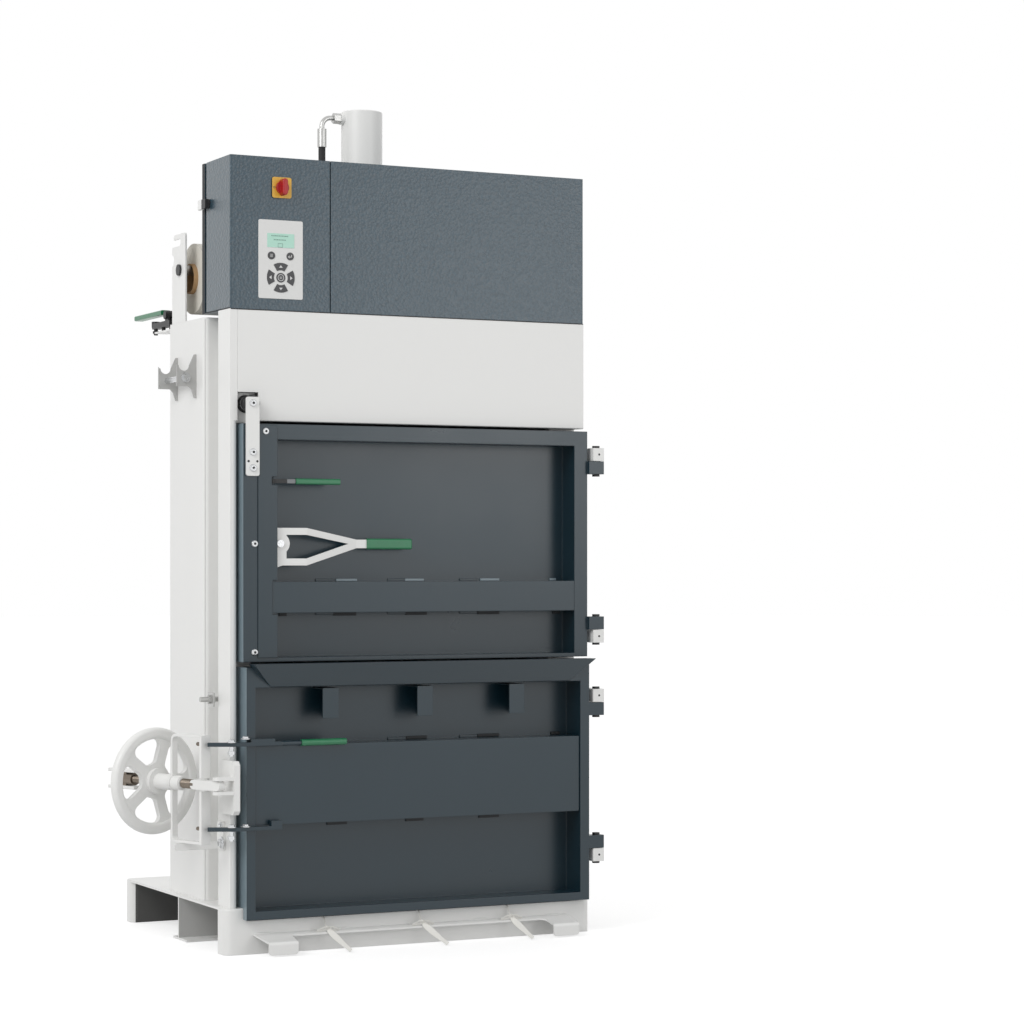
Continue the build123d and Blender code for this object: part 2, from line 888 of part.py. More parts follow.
# Quarter-turn latch in the side of the control cover
latch_plane = Plane(origin=(-body_half, latch_y, latch_z), x_dir=(0, 1, 0), z_dir=(-1, 0, 0))
with BuildPart() as cover_latch:
    with BuildSketch(latch_plane.offset(-cover_sheet)):
        Circle(knob_axle_radius)
    extrude(amount=cover_sheet + seat_gap)
    with BuildSketch(latch_plane.offset(seat_gap)):
        Circle(latch_base_radius)
    extrude(amount=latch_base_depth)
    with BuildSketch(latch_plane.offset(seat_gap + latch_base_depth)):
        with Locations((latch_wing_offset, 0)):
            RectangleRounded(latch_wing_length, latch_wing_width, latch_wing_corner)
    extrude(amount=latch_wing_depth)
finish(cover_latch, "cover_latch")

# Press cylinder, turned, with its flange, gland and port boss
gland_top = head_top + gland_length
bore_top = cylinder_top - cylinder_cap
with BuildPart() as cylinder_tube:
    with BuildSketch(Plane(origin=(0, cylinder_y, 0), x_dir=(1, 0, 0), z_dir=(0, -1, 0))):
        with BuildLine():
            Polyline(
                (rod_radius + pin_clearance, head_top),
                (cylinder_flange_radius, head_top),
                (cylinder_flange_radius, head_top + cylinder_flange),
                (cylinder_radius, head_top + cylinder_flange),
                (cylinder_radius, cylinder_top - cylinder_chamfer),
                (cylinder_radius - cylinder_chamfer, cylinder_top),
                (0, cylinder_top),
                (0, bore_top),
                (cylinder_bore, bore_top),
                (cylinder_bore, gland_top),
                (rod_radius + pin_clearance, gland_top),
                close=True,
            )
        make_face()
    revolve(axis=Axis((0, cylinder_y, 0), (0, 0, 1)))
    with BuildSketch(Plane(origin=(-cylinder_bore - wall, cylinder_y, port_z), z_dir=(-1, 0, 0))):
        Circle(port_boss_radius)
    extrude(amount=cylinder_radius - cylinder_bore - wall + port_boss_length)
finish(cylinder_tube, "cylinder_tube")

# Piston rod with its piston, drawn in
boss_top = press_bottom + press_thickness + rib_height
piston_top = bore_top - piston_top_gap
with BuildPart() as piston_rod:
    with BuildSketch(Plane(origin=(0, cylinder_y, boss_top))):
        Circle(rod_radius)
    extrude(amount=piston_top - boss_top)
    with BuildSketch(Plane(origin=(0, cylinder_y, piston_top))):
        Circle(cylinder_bore - piston_clearance)
    extrude(amount=-piston_length)
finish(piston_rod, "piston_rod")

# Press plate with ribs, a boss for the rod and three strap grooves
with BuildPart() as press_plate:
    rib_base = press_bottom + press_thickness
    block(-press_half, press_half, press_front, press_back, press_bottom, rib_base)
    for rib_side in (-1, 1):
        rib_y = cylinder_y + rib_side * rib_spacing / 2
        rib_x = rib_side * rib_spacing
        block(rib_inset - press_half, press_half - rib_inset, rib_y - rib_thickness / 2,
              rib_y + rib_thickness / 2, rib_base, boss_top)
        block(rib_x - rib_thickness / 2, rib_x + rib_thickness / 2, press_front + rib_inset,
              press_back - rib_inset, rib_base, boss_top)
    block(-press_half + rib_inset, press_half - rib_inset, cylinder_y - rib_thickness / 2,
          cylinder_y + rib_thickness / 2, rib_base, boss_top)
    with Locations((0, cylinder_y, (rib_base + boss_top) / 2)):
        Cylinder(boss_radius, rib_height)
    for place in strap_places:
        block(place - strap_groove_width / 2, place + strap_groove_width / 2, press_front - cut,
              press_back + cut, press_bottom - cut, press_bottom + strap_groove_depth, mode=Mode.SUBTRACT)
finish(press_plate, "press_plate")

# Steel line from the port: nut, bent tube and hose ferrule
fitting_start = -cylinder_radius - port_boss_length
with BuildPart() as hose_elbow:
    with BuildSketch(Plane(origin=(fitting_start, cylinder_y, port_z), z_dir=(-1, 0, 0))):
        RegularPolygon(fitting_hex, 6)
    extrude(amount=fitting_length)
    with BuildLine() as elbow_path:
        FilletPolyline(
            (fitting_start - fitting_length, cylinder_y, port_z),
            (hose_x, cylinder_y, port_z),
            (hose_x, cylinder_y, elbow_bottom),
            radius=elbow_radius,
        )
    with BuildSketch(Plane(origin=elbow_path.line @ 0, z_dir=elbow_path.line % 0)):
        Circle(tube_radius)
    sweep(path=elbow_path.line)
    with BuildSketch(Plane(origin=(hose_x, cylinder_y, elbow_bottom))):
        Circle(ferrule_radius)
    extrude(amount=-ferrule_length)
finish(hose_elbow, "hose_elbow")

# Pressure hose from the ferrule to the back of the hood
hose_top = elbow_bottom - ferrule_length
with BuildPart() as pressure_hose:
    with BuildLine() as hose_path:
        FilletPolyline(
            (hose_x, cylinder_y, hose_top),
            (hose_x, cylinder_y, hose_entry_z),
            (hose_x, hood_back, hose_entry_z),
            radius=hose_bend,
        )
    with BuildSketch(Plane(origin=hose_path.line @ 0, z_dir=hose_path.line % 0)):
        Circle(hose_radius)
    sweep(path=hose_path.line)
finish(pressure_hose, "pressure_hose")

# Pump motor on the hood floor
motor_z = hood_floor_top + motor_foot_height + motor_radius
with BuildPart() as pump_motor:
    with BuildSketch(Plane(origin=(motor_left, motor_y, motor_z), z_dir=(1, 0, 0))):
        Circle(motor_radius)
    extrude(amount=motor_length)
    with BuildSketch(Plane(origin=(motor_left, motor_y, motor_z), z_dir=(-1, 0, 0))):
        Circle(motor_end_radius)
    extrude(amount=motor_end_length)
    block(motor_left + motor_end_length, motor_left + motor_length - motor_end_length,
          motor_y - motor_foot_depth / 2, motor_y + motor_foot_depth / 2, hood_floor_top,
          motor_z - motor_end_radius)
finish(pump_motor, "pump_motor")

# Oil tank beside the motor
with BuildPart() as oil_tank:
    with BuildSketch(Plane.XY.offset(hood_floor_top)):
        with Locations(((tank_left + tank_right) / 2, (tank_front + tank_back) / 2)):
            RectangleRounded(tank_right - tank_left, tank_back - tank_front, tank_corner)
    extrude(amount=tank_height)
    with BuildSketch(Plane.XY.offset(hood_floor_top + tank_height)):
        with Locations(((tank_left + tank_right) / 2, (tank_front + tank_back) / 2)):
            Circle(filler_radius)
    extrude(amount=filler_height)
finish(oil_tank, "oil_tank")

# Two reel brackets with a hook that is open to the back
with BuildPart() as reel_brackets:
    for bracket_x in (-body_half, reel_right):
        with BuildSketch(Plane.YZ.offset(bracket_x)) as bracket_face:
            bracket_y = (reel_plate_front + reel_plate_back) / 2
            with Locations((bracket_y, (head_top + reel_plate_top) / 2)):
                Rectangle(reel_plate_back - reel_plate_front, reel_plate_top - head_top)
            with Locations((reel_plate_back, reel_plate_top)):
                Rectangle(2 * reel_hook_trim, 2 * (reel_plate_top - reel_hook_z), mode=Mode.SUBTRACT)
            fillet(bracket_face.vertices().group_by(Axis.Y)[-1], reel_corner)
            with Locations((reel_plate_back, reel_hook_z)):
                SlotOverall(2 * reel_hook_reach, reel_hook_gap, mode=Mode.SUBTRACT)
            with Locations((reel_plate_back, reel_dent_z)):
                Circle(reel_dent_radius, mode=Mode.SUBTRACT)
            dent_top = reel_dent_z + reel_dent_radius
            back_corners = bracket_face.vertices().group_by(Axis.X)[-1]
            lip_corners = back_corners.filter_by_position(Axis.Y, dent_top - reel_plate, reel_hook_z)
            fillet(lip_corners, reel_lip_corner)
            with Locations((reel_y, reel_z)):
                Circle(axle_radius + pin_clearance, mode=Mode.SUBTRACT)
        extrude(amount=reel_plate)
finish(reel_brackets, "reel_brackets")

# Axle tube of the reel
reel_end = reel_right + reel_plate
with BuildPart() as reel_axle:
    with BuildSketch(Plane(origin=(-body_half, reel_y, reel_z), z_dir=(1, 0, 0))):
        Circle(axle_radius)
    extrude(amount=reel_end + body_half)
finish(reel_axle, "reel_axle")

with BuildPart() as axle_plugs:
    for plug_x, plug_way in ((-body_half, -1), (reel_end, 1)):
        with BuildSketch(Plane(origin=(plug_x, reel_y, reel_z), z_dir=(plug_way, 0, 0))):
            Circle(plug_radius)
        extrude(amount=plug_depth)
finish(axle_plugs, "axle_plugs")

# Strap rolls hanging on the axle, each wound on a card core
for roll_number in range(roll_count):
    roll_start = roll_left + roll_number * roll_pitch
    roll_plane = Plane(origin=(roll_start, reel_y, roll_z), z_dir=(1, 0, 0))
    with BuildPart() as strap_roll:
        with BuildSketch(roll_plane):
            Circle(roll_radius)
            Circle(core_radius + core_gap, mode=Mode.SUBTRACT)
        extrude(amount=roll_width)
        with BuildSketch(roll_plane.offset(-core_overhang)):
            Circle(core_radius)
            Circle(core_radius - core_wall, mode=Mode.SUBTRACT)
        extrude(amount=roll_width + core_overhang)
    finish(strap_roll, f"strap_roll_{roll_number + 1}")

# Notched holder plates that stand out from the left column
with BuildPart() as holder_plates:
    for holder_y in holder_ys:
        holder_plane = Plane(origin=(-body_half, holder_y, holder_z), x_dir=(-1, 0, 0), z_dir=(0, 1, 0))
        with BuildSketch(holder_plane) as holder_face:
            with BuildLine():
                Polyline(
                    (0, holder_half_height),
                    (holder_strip / 2, holder_half_height),
                    (holder_notch_x - holder_notch_radius, holder_notch_z),
                    (holder_reach - wall / 2, holder_notch_z),
                    (holder_reach, holder_tip),
                    (holder_reach, -holder_floor),
                    (holder_strip + holder_corner, -holder_floor),
                    (holder_strip, -holder_floor - holder_corner),
                    (holder_strip / 2, -holder_half_height),
                    (0, -holder_half_height),
                    close=True,
                )
            make_face()
            with Locations((holder_notch_x, holder_notch_z)):
                Circle(holder_notch_radius, mode=Mode.SUBTRACT)
            with Locations((holder_bolt_x, holder_bolt_z)):
                Circle(holder_bolt_radius + pin_clearance, mode=Mode.SUBTRACT)
        extrude(amount=holder_plate)
finish(holder_plates, "holder_plates")

# Bolt and spacer tube between the holder plates
with BuildPart() as holder_bolt:
    bolt_origin = (-body_half - holder_bolt_x, holder_ys[0], holder_z + holder_bolt_z)
    bolt_plane = Plane(origin=bolt_origin, z_dir=(0, 1, 0))
    bolt_span = holder_ys[1] - holder_ys[0] + holder_plate
    with BuildSketch(bolt_plane.offset(-holder_washer - holder_head)):
        RegularPolygon(holder_head_radius, 6)
    extrude(amount=holder_head)
    with BuildSketch(bolt_plane.offset(-holder_washer), bolt_plane.offset(bolt_span)):
        Circle(holder_washer_radius)
    extrude(amount=holder_washer)
    with BuildSketch(bolt_plane):
        Circle(holder_bolt_radius)
    extrude(amount=bolt_span)
    with BuildSketch(bolt_plane.offset(holder_plate)):
        Circle(holder_spacer_radius)
    extrude(amount=bolt_span - 2 * holder_plate)
    with BuildSketch(bolt_plane.offset(bolt_span + holder_washer)):
        RegularPolygon(holder_head_radius, 6)
    extrude(amount=holder_head)
finish(holder_bolt, "holder_bolt")

# Strap clamp body on two studs, with ears for the lever and a foot on a screw
clamp_mid_x = (clamp_plate_left + clamp_plate_right) / 2
clamp_base_left = clamp_plate_left + clamp_inset
clamp_base_right = clamp_plate_right - clamp_inset
clamp_top = clamp_plate_z + wall
with BuildPart() as clamp_base:
    block(clamp_base_left, clamp_base_right, clamp_base_front, clamp_base_back, clamp_base_bottom,
          clamp_base_top)
    with BuildSketch(Plane.XY.offset(clamp_top)):
        with Locations([(clamp_mid_x, stud_y) for stud_y in clamp_stud_ys]):
            Circle(clamp_stud_radius)
    extrude(amount=clamp_base_bottom - clamp_top)
    foot_place = (clamp_mid_x, clamp_base_back)
    with BuildSketch(Plane.XY.offset(clamp_foot_bottom)):
        with Locations(foot_place):
            Circle(clamp_foot_radius)
    extrude(amount=clamp_foot_top - clamp_foot_bottom)
    with BuildSketch(Plane.XY.offset(clamp_screw_bottom)):
        with Locations(foot_place):
            Circle(clamp_stud_radius)
    extrude(amount=clamp_foot_bottom - clamp_screw_bottom)
    with BuildSketch(Plane.XY.offset(clamp_nut_bottom)):
        with Locations(foot_place):
            RegularPolygon(clamp_nut_radius, 6)
    extrude(amount=clamp_nut)
    with BuildSketch(Plane(origin=(clamp_base_left, clamp_pivot_y, clamp_pivot_z), z_dir=(-1, 0, 0))):
        Circle(clamp_knob_radius)
    extrude(amount=clamp_knob)
    for ear_x, ear_way in ((clamp_base_left, 1), (clamp_base_right, -1)):
        with BuildSketch(Plane(origin=(ear_x, 0, 0), x_dir=(0, ear_way, 0), z_dir=(ear_way, 0, 0))):
            ear_middle = (clamp_base_top + clamp_pivot_z) / 2
            with Locations((ear_way * clamp_pivot_y, clamp_pivot_z)):
                Circle(clamp_hub_radius)
            with Locations((ear_way * clamp_pivot_y, ear_middle)):
                Rectangle(2 * clamp_hub_radius, clamp_pivot_z - clamp_base_top)
        extrude(amount=clamp_ear)
    with BuildSketch(Plane(origin=(clamp_base_left, clamp_pivot_y, clamp_pivot_z), z_dir=(1, 0, 0))):
        Circle(clamp_stud_radius)
    extrude(amount=clamp_base_right - clamp_base_left)
finish(clamp_base, "clamp_base")

# Clamp lever between the ears, with its grip pointing back
lever_half_width = (clamp_base_right - clamp_base_left) / 2 - clamp_ear - running_gap
clamp_grip_z = clamp_pivot_z + clamp_grip_lift
with BuildPart() as clamp_lever:
    with BuildSketch(Plane(origin=(clamp_mid_x - lever_half_width, 0, 0), x_dir=(0, 1, 0), z_dir=(1, 0, 0))):
        with Locations((clamp_pivot_y, clamp_pivot_z)):
            Circle(clamp_hub_radius)
        with Locations((clamp_pivot_y + clamp_grip_start / 2, clamp_grip_z - clamp_arm / 4)):
            Rectangle(clamp_grip_start, clamp_arm)
        with Locations((clamp_pivot_y, clamp_pivot_z)):
            Circle(clamp_stud_radius + pin_clearance, mode=Mode.SUBTRACT)
    extrude(amount=2 * lever_half_width)
finish(clamp_lever, "clamp_lever")

with BuildPart() as clamp_grip:
    block(clamp_mid_x - clamp_grip_width / 2, clamp_mid_x + clamp_grip_width / 2,
          clamp_pivot_y + clamp_grip_start, clamp_pivot_y + clamp_grip_end,
          clamp_grip_z - clamp_grip_height / 2, clamp_grip_z + clamp_grip_height / 2)
    fillet(clamp_grip.edges().filter_by(Axis.Y), clamp_grip_corner)
finish(clamp_grip, "clamp_grip")

# Hinge halves on the frame: a block round the pin and an arm back to the right post
hinge_left = hinge_x - hinge_half_x
hinge_right = hinge_x + hinge_half_x
hinge_front = hinge_y - hinge_half_y
hinge_back = hinge_y + hinge_half_y
frame_hinge_bottoms = (
    upper_hinge_splits[0] + running_gap,
    upper_hinge_splits[1] - running_gap - hinge_height,
    lower_hinge_splits[0] + running_gap,
    lower_hinge_splits[1] - running_gap - hinge_height,
)
with BuildPart() as frame_hinges:
    for hinge_bottom in frame_hinge_bottoms:
        with BuildSketch(Plane.XY.offset(hinge_bottom)):
            with BuildLine():
                Polyline(
                    (hinge_left, hinge_front),
                    (hinge_right, hinge_front),
                    (hinge_right, post_back),
                    (body_half, post_back),
                    (body_half, hinge_foot_front),
                    (hinge_arm_left, hinge_foot_front),
                    (hinge_arm_left, hinge_back),
                    (hinge_left, hinge_back),
                    close=True,
                )
            make_face()
            with Locations((hinge_x, hinge_y)):
                Circle(hinge_pin_radius + pin_clearance, mode=Mode.SUBTRACT)
        extrude(amount=hinge_height)
finish(frame_hinges, "frame_hinges")

# Hinge pins with a cap at each end
hinge_splits = upper_hinge_splits + lower_hinge_splits
pin_half = hinge_height + running_gap + seat_gap
with BuildPart() as hinge_pins:
    for split_z in hinge_splits:
        with BuildSketch(Plane(origin=(hinge_x, hinge_y, split_z - pin_half))):
            Circle(hinge_pin_radius)
        extrude(amount=2 * pin_half)
        with BuildSketch(Plane(origin=(hinge_x, hinge_y, split_z - pin_half - hinge_cap))):
            Circle(hinge_cap_radius)
        extrude(amount=hinge_cap)
        with BuildSketch(Plane(origin=(hinge_x, hinge_y, split_z + pin_half))):
            Circle(hinge_cap_radius)
        extrude(amount=hinge_cap)
finish(hinge_pins, "hinge_pins")

# Upper door: folded pan with its hinge knuckles, slots for the handles and the lever's pivot
lever_back = lever_front + lever_sheet
with BuildPart() as upper_door_pan:
    block(upper_left, upper_right, upper_front, door_back, upper_bottom, upper_top)
    block(upper_stile_inner, upper_right_inner, upper_front - cut, panel_face,
          upper_bottom + upper_bottom_bar, upper_top - upper_top_bar, mode=Mode.SUBTRACT)
    block(upper_stile_inner - lever_slot_depth, upper_stile_inner + cut, lever_front - lever_slot_gap,
          lever_back + lever_slot_gap, lever_z - lever_slot_half, lever_z + lever_slot_half,
          mode=Mode.SUBTRACT)
    block(upper_stile_inner - stile_notch, upper_stile_inner + cut, upper_front - cut,
          upper_front + sheet + bar_clearance, upper_bar_bottom - stile_notch_overlap,
          upper_bar_top + stile_notch_overlap, mode=Mode.SUBTRACT)
    block(pull_x - pull_slot_root, upper_stile_inner + cut, upper_front - cut, pull_y + pull_slot_back,
          pull_z - pull_slot_half, pull_z + pull_slot_half, mode=Mode.SUBTRACT)
    for tab_x in tab_places:
        for tab_z in (upper_bar_top + tab_height / 2, upper_bar_bottom - tab_height / 2):
            with Locations((tab_x, panel_face - tab_depth / 2, tab_z)):
                Box(tab_length, tab_depth, tab_height)
    for split_z, knuckle_side in zip(upper_hinge_splits, (-1, 1)):
        knuckle_near = split_z + knuckle_side * running_gap
        knuckle_far = knuckle_near + knuckle_side * hinge_height
        block(upper_right, hinge_right, hinge_front, hinge_back, min(knuckle_near, knuckle_far),
              max(knuckle_near, knuckle_far))
    with BuildSketch(Plane(origin=(hinge_x, hinge_y, upper_bottom))):
        Circle(hinge_pin_radius + pin_clearance)
    extrude(amount=upper_top - upper_bottom, mode=Mode.SUBTRACT)
    with BuildSketch(Plane(origin=(lever_x, panel_face, lever_z), z_dir=(0, -1, 0))):
        Circle(lever_pin_radius)
    extrude(amount=panel_face - lever_front + seat_gap)
    with BuildSketch(Plane(origin=(lever_x, lever_front - seat_gap, lever_z), z_dir=(0, -1, 0))):
        Circle(lever_head_radius)
    extrude(amount=lever_head)
    pin_reach = pull_slot_half + pull_pin_bury
    with BuildSketch(Plane(origin=(pull_x, pull_y, pull_z - pin_reach))):
        Circle(pull_pin_radius)
    extrude(amount=2 * pin_reach)
finish(upper_door_pan, "upper_door_pan")

# Middle bar of the upper door, a channel that is open to the back, with its face let into the stile
with BuildPart() as upper_door_bar:
    bar_left = upper_stile_inner + bar_clearance
    bar_right = upper_right_inner - bar_clearance
    block(bar_left, bar_right, upper_front, panel_face, upper_bar_bottom, upper_bar_top)
    block(bar_left - cut, bar_right + cut, upper_front + sheet, panel_face + cut, upper_bar_bottom + sheet,
          upper_bar_top - sheet, mode=Mode.SUBTRACT)
    block(bar_left - stile_notch, bar_left + sheet, upper_front, upper_front + sheet, upper_bar_bottom,
          upper_bar_top)
finish(upper_door_bar, "upper_door_bar")

# Cover strip over the locking stile, cut out for the latch handle and the bar
with BuildPart() as stile_cover:
    cover_back = upper_front
    block(stile_cover_left, upper_stile_inner, cover_back - stile_cover_sheet, cover_back,
          upper_bottom + upper_bottom_bar, upper_top - sheet)
    block(upper_stile_inner - stile_notch, upper_stile_inner + cut, -cut, cover_back + cut,
          upper_bar_bottom - stile_notch_overlap, upper_bar_top + stile_notch_overlap, mode=Mode.SUBTRACT)
    block(pull_x - pull_slot_root, upper_stile_inner + cut, -cut, cover_back + cut, pull_z - pull_slot_half,
          pull_z + pull_slot_half, mode=Mode.SUBTRACT)
finish(stile_cover, "stile_cover")

# Interlock strap on the edge of the cover strip, and the buffer behind its upper end
strap_back = upper_front - stile_cover_sheet
strap_x = (strap_left + strap_right) / 2
with BuildPart() as interlock_strap:
    with BuildSketch(Plane(origin=(strap_x, strap_back, 0), x_dir=(1, 0, 0), z_dir=(0, -1, 0))):
        with Locations((0, (strap_bottom + strap_top) / 2)):
            RectangleRounded(strap_right - strap_left, strap_top - strap_bottom, strap_corner)
        with Locations((-strap_hole_spread, strap_hole_z), (strap_hole_spread, strap_hole_z)):
            Circle(strap_hole_radius, mode=Mode.SUBTRACT)
    extrude(amount=strap_thickness)
finish(interlock_strap, "interlock_strap")

with BuildPart() as interlock_buffer:
    buffer_plane = Plane(origin=(strap_x, strap_back, strap_bolt_z), z_dir=(0, 1, 0))
    buffer_length = buffer_back - strap_back
    ring_start = (buffer_length - buffer_ring) / 2
    with BuildSketch(buffer_plane):
        Circle(buffer_ring_radius)
    extrude(amount=buffer_length)
    with BuildSketch(buffer_plane):
        Circle(buffer_radius)
    extrude(amount=ring_start)
    with BuildSketch(buffer_plane.offset(ring_start + buffer_ring)):
        Circle(buffer_radius)
    extrude(amount=ring_start)
finish(interlock_buffer, "interlock_buffer")

# Fork lever: one bent plate with two arms that meet in a neck
lever_left = lever_x - lever_root
lever_inner_top = lever_top - lever_arm_width
lever_inner_bottom = lever_bottom - lever_arm_width
with BuildPart() as fork_lever:
    with BuildSketch(Plane(origin=(0, lever_front - cut, 0), x_dir=(1, 0, 0), z_dir=(0, 1, 0))):
        with BuildLine():
            Polyline(
                (lever_left, -lever_z - lever_top),
                (lever_bend_x, -lever_z - lever_top),
                (lever_meet_x, -lever_z - lever_neck_half),
                (lever_neck_x + lever_tongue, -lever_z - lever_neck_half),
                (lever_neck_x + lever_tongue, -lever_z + lever_neck_half),
                (lever_meet_x, -lever_z + lever_neck_half),
                (lever_bend_x, -lever_z + lever_bottom),
                (lever_left + lever_flare_length, -lever_z + lever_bottom),
                (lever_left, -lever_z + lever_bottom + lever_flare),
                close=True,
            )
        make_face()
        with BuildLine():
            Polyline(
                (lever_x + lever_arm_width, -lever_z - lever_inner_top),
                (lever_bend_x, -lever_z - lever_inner_top),
                (lever_meet_x - lever_window_end, -lever_z),
                (lever_bend_x, -lever_z + lever_inner_bottom),
                (lever_x + lever_arm_width, -lever_z + lever_inner_bottom),
                close=True,
            )
        make_face(mode=Mode.SUBTRACT)
        with Locations((lever_x, -lever_z)):
            Circle(lever_boss_radius)
            Circle(lever_pin_radius + pin_clearance, mode=Mode.SUBTRACT)
    extrude(amount=2 * cut + lever_depth)
    with BuildSketch(Plane.XY.offset(lever_z - lever_bottom - cut)):
        with BuildLine():
            Polyline(
                (lever_left, lever_front),
                (lever_bend_x, lever_front),
                (lever_meet_x, lever_front + lever_depth),
                (lever_neck_x + lever_tongue, lever_front + lever_depth),
                (lever_neck_x + lever_tongue, lever_back + lever_depth),
                (lever_meet_x, lever_back + lever_depth),
                (lever_bend_x, lever_back),
                (lever_left, lever_back),
                close=True,
            )
        make_face()
    extrude(amount=lever_top + lever_bottom + 2 * cut, mode=Mode.INTERSECT)
finish(fork_lever, "fork_lever")

# Grip pushed over the lever's tongue
grip_middle_y = lever_front + lever_depth + lever_sheet / 2
with BuildPart() as fork_grip:
    block(lever_neck_x, grip_end_x, grip_middle_y - grip_thickness / 2, grip_middle_y + grip_thickness / 2,
          lever_z - grip_half, lever_z + grip_half)
    fillet(fork_grip.edges().filter_by(Axis.X), grip_corner)
    fillet(fork_grip.faces().sort_by(Axis.X)[-1].edges(), grip_corner - pin_clearance)
    block(lever_neck_x - cut, lever_neck_x + lever_tongue, grip_middle_y - lever_sheet / 2,
          grip_middle_y + lever_sheet / 2, lever_z - lever_neck_half, lever_z + lever_neck_half,
          mode=Mode.SUBTRACT)
finish(fork_grip, "fork_grip")

# Small latch handle that pulls out of the stile
with BuildPart() as latch_lever:
    with BuildSketch(Plane.XY.offset(pull_z - pull_bar_height / 2)):
        with Locations((pull_x, pull_y)):
            Circle(pull_root)
        bar_end = pull_grip_start + pull_grip_height
        with Locations(((pull_x + bar_end) / 2, pull_y)):
            Rectangle(bar_end - pull_x, pull_bar)
        with Locations((pull_x, pull_y)):
            Circle(pull_pin_radius + pin_clearance, mode=Mode.SUBTRACT)
    extrude(amount=pull_bar_height)
finish(latch_lever, "latch_lever")

with BuildPart() as latch_grip:
    block(pull_grip_start, pull_grip_end, pull_y - pull_grip_depth / 2, pull_y + pull_grip_depth / 2,
          pull_z - pull_grip_height / 2, pull_z + pull_grip_height / 2)
    fillet(latch_grip.edges().filter_by(Axis.X), pull_grip_corner)
    block(pull_grip_start - cut, bar_end, pull_y - pull_bar / 2, pull_y + pull_bar / 2,
          pull_z - pull_bar_height / 2, pull_z + pull_bar_height / 2, mode=Mode.SUBTRACT)
finish(latch_grip, "latch_grip")

# Lower door: folded pan that hangs in front of the base, with its hinge knuckles
with BuildPart() as lower_door_pan:
    block(lower_left, body_half, lower_front, door_back, lower_bottom, lower_top)
    block(lower_left, body_half, lower_front, lower_lip_back, lower_lip_bottom, lower_bottom)
    block(lower_stile_inner, lower_right_inner, lower_front - cut, panel_face,
          lower_lip_bottom + lower_bottom_bar, lower_top - lower_top_bar, mode=Mode.SUBTRACT)
    block(lower_left - cut, sill_left + sill_gap, lower_lip_back, door_back + cut, lower_bottom - cut,
          base_height + running_gap, mode=Mode.SUBTRACT)
    for tab_x in tab_places:
        for tab_z in (lower_bar_top + tab_height / 2, lower_bar_bottom - tab_height / 2):
            with Locations((tab_x, panel_face - tab_depth / 2, tab_z)):
                Box(tab_length, tab_depth, tab_height)
    for split_z, knuckle_side in zip(lower_hinge_splits, (-1, 1)):
        knuckle_near = split_z + knuckle_side * running_gap
        knuckle_far = knuckle_near + knuckle_side * hinge_height
        block(body_half, hinge_right, hinge_front, hinge_back, min(knuckle_near, knuckle_far),
              max(knuckle_near, knuckle_far))
    with BuildSketch(Plane(origin=(hinge_x, hinge_y, lower_lip_bottom))):
        Circle(hinge_pin_radius + pin_clearance)
    extrude(amount=lower_top - lower_lip_bottom, mode=Mode.SUBTRACT)
finish(lower_door_pan, "lower_door_pan")

# Wide middle bar of the lower door
with BuildPart() as lower_door_bar:
    lower_bar_left = lower_stile_inner + bar_clearance
    lower_bar_right = lower_right_inner - bar_clearance
    block(lower_bar_left, lower_bar_right, lower_bar_front, panel_face, lower_bar_bottom, lower_bar_top)
    block(lower_bar_left - cut, lower_bar_right + cut, lower_bar_front + sheet, panel_face + cut,
          lower_bar_bottom + sheet, lower_bar_top - sheet, mode=Mode.SUBTRACT)
finish(lower_door_bar, "lower_door_bar")

# Chute lip that leans out over the lower door, folded with a flat top and mitred ends
lip_slope = (lip_top - lip_bottom) / lip_reach
with BuildPart() as lip_hollow:
    with BuildSketch(Plane.YZ.offset(lip_left)):
        with BuildLine():
            Polyline(
                (lower_front, lip_bottom + lip_sheet * lip_slope),
                (lower_front, lip_top - lip_sheet),
                (lower_front - lip_reach + 2 * lip_sheet, lip_top - lip_sheet),
                close=True,
            )
        make_face()
    extrude(amount=lip_right - lip_left)
    with BuildSketch(Plane(origin=(0, lower_front, 0), x_dir=(1, 0, 0), z_dir=(0, -1, 0))):
        with BuildLine():
            Polyline(
                (lip_left + 2 * lip_sheet, lip_top),
                (lip_left + 2 * lip_sheet + lip_mitre, lip_bottom),
                (lip_right - 2 * lip_sheet - lip_mitre, lip_bottom),
                (lip_right - 2 * lip_sheet, lip_top),
                close=True,
            )
        make_face()
    extrude(amount=lip_reach, mode=Mode.INTERSECT)

with BuildPart() as chute_lip:
    with BuildSketch(Plane.YZ.offset(lip_left)):
        with BuildLine():
            Polyline(
                (lower_front, lip_bottom),
                (lower_front, lip_top),
                (lower_front - lip_reach, lip_top),
                close=True,
            )
        make_face()
    extrude(amount=lip_right - lip_left)
    with BuildSketch(Plane(origin=(0, lower_front, 0), x_dir=(1, 0, 0), z_dir=(0, -1, 0))):
        with BuildLine():
            Polyline(
                (lip_left, lip_top),
                (lip_left + lip_mitre, lip_bottom),
                (lip_right - lip_mitre, lip_bottom),
                (lip_right, lip_top),
                close=True,
            )
        make_face()
    extrude(amount=lip_reach, mode=Mode.INTERSECT)
    add(lip_hollow.part, mode=Mode.SUBTRACT)
finish(chute_lip, "chute_lip")

# Three strap pockets under the lip, open to the left and below
with BuildPart() as strap_pockets:
    for pocket_left in pocket_lefts:
        pocket_right = pocket_left + pocket_width
        block(pocket_left, pocket_right, pocket_front, panel_face, pocket_bottom, pocket_top)
        block(pocket_left - cut, pocket_right - sheet, pocket_front + sheet, panel_face + cut,
              pocket_bottom - cut, pocket_top - sheet, mode=Mode.SUBTRACT)
finish(strap_pockets, "strap_pockets")

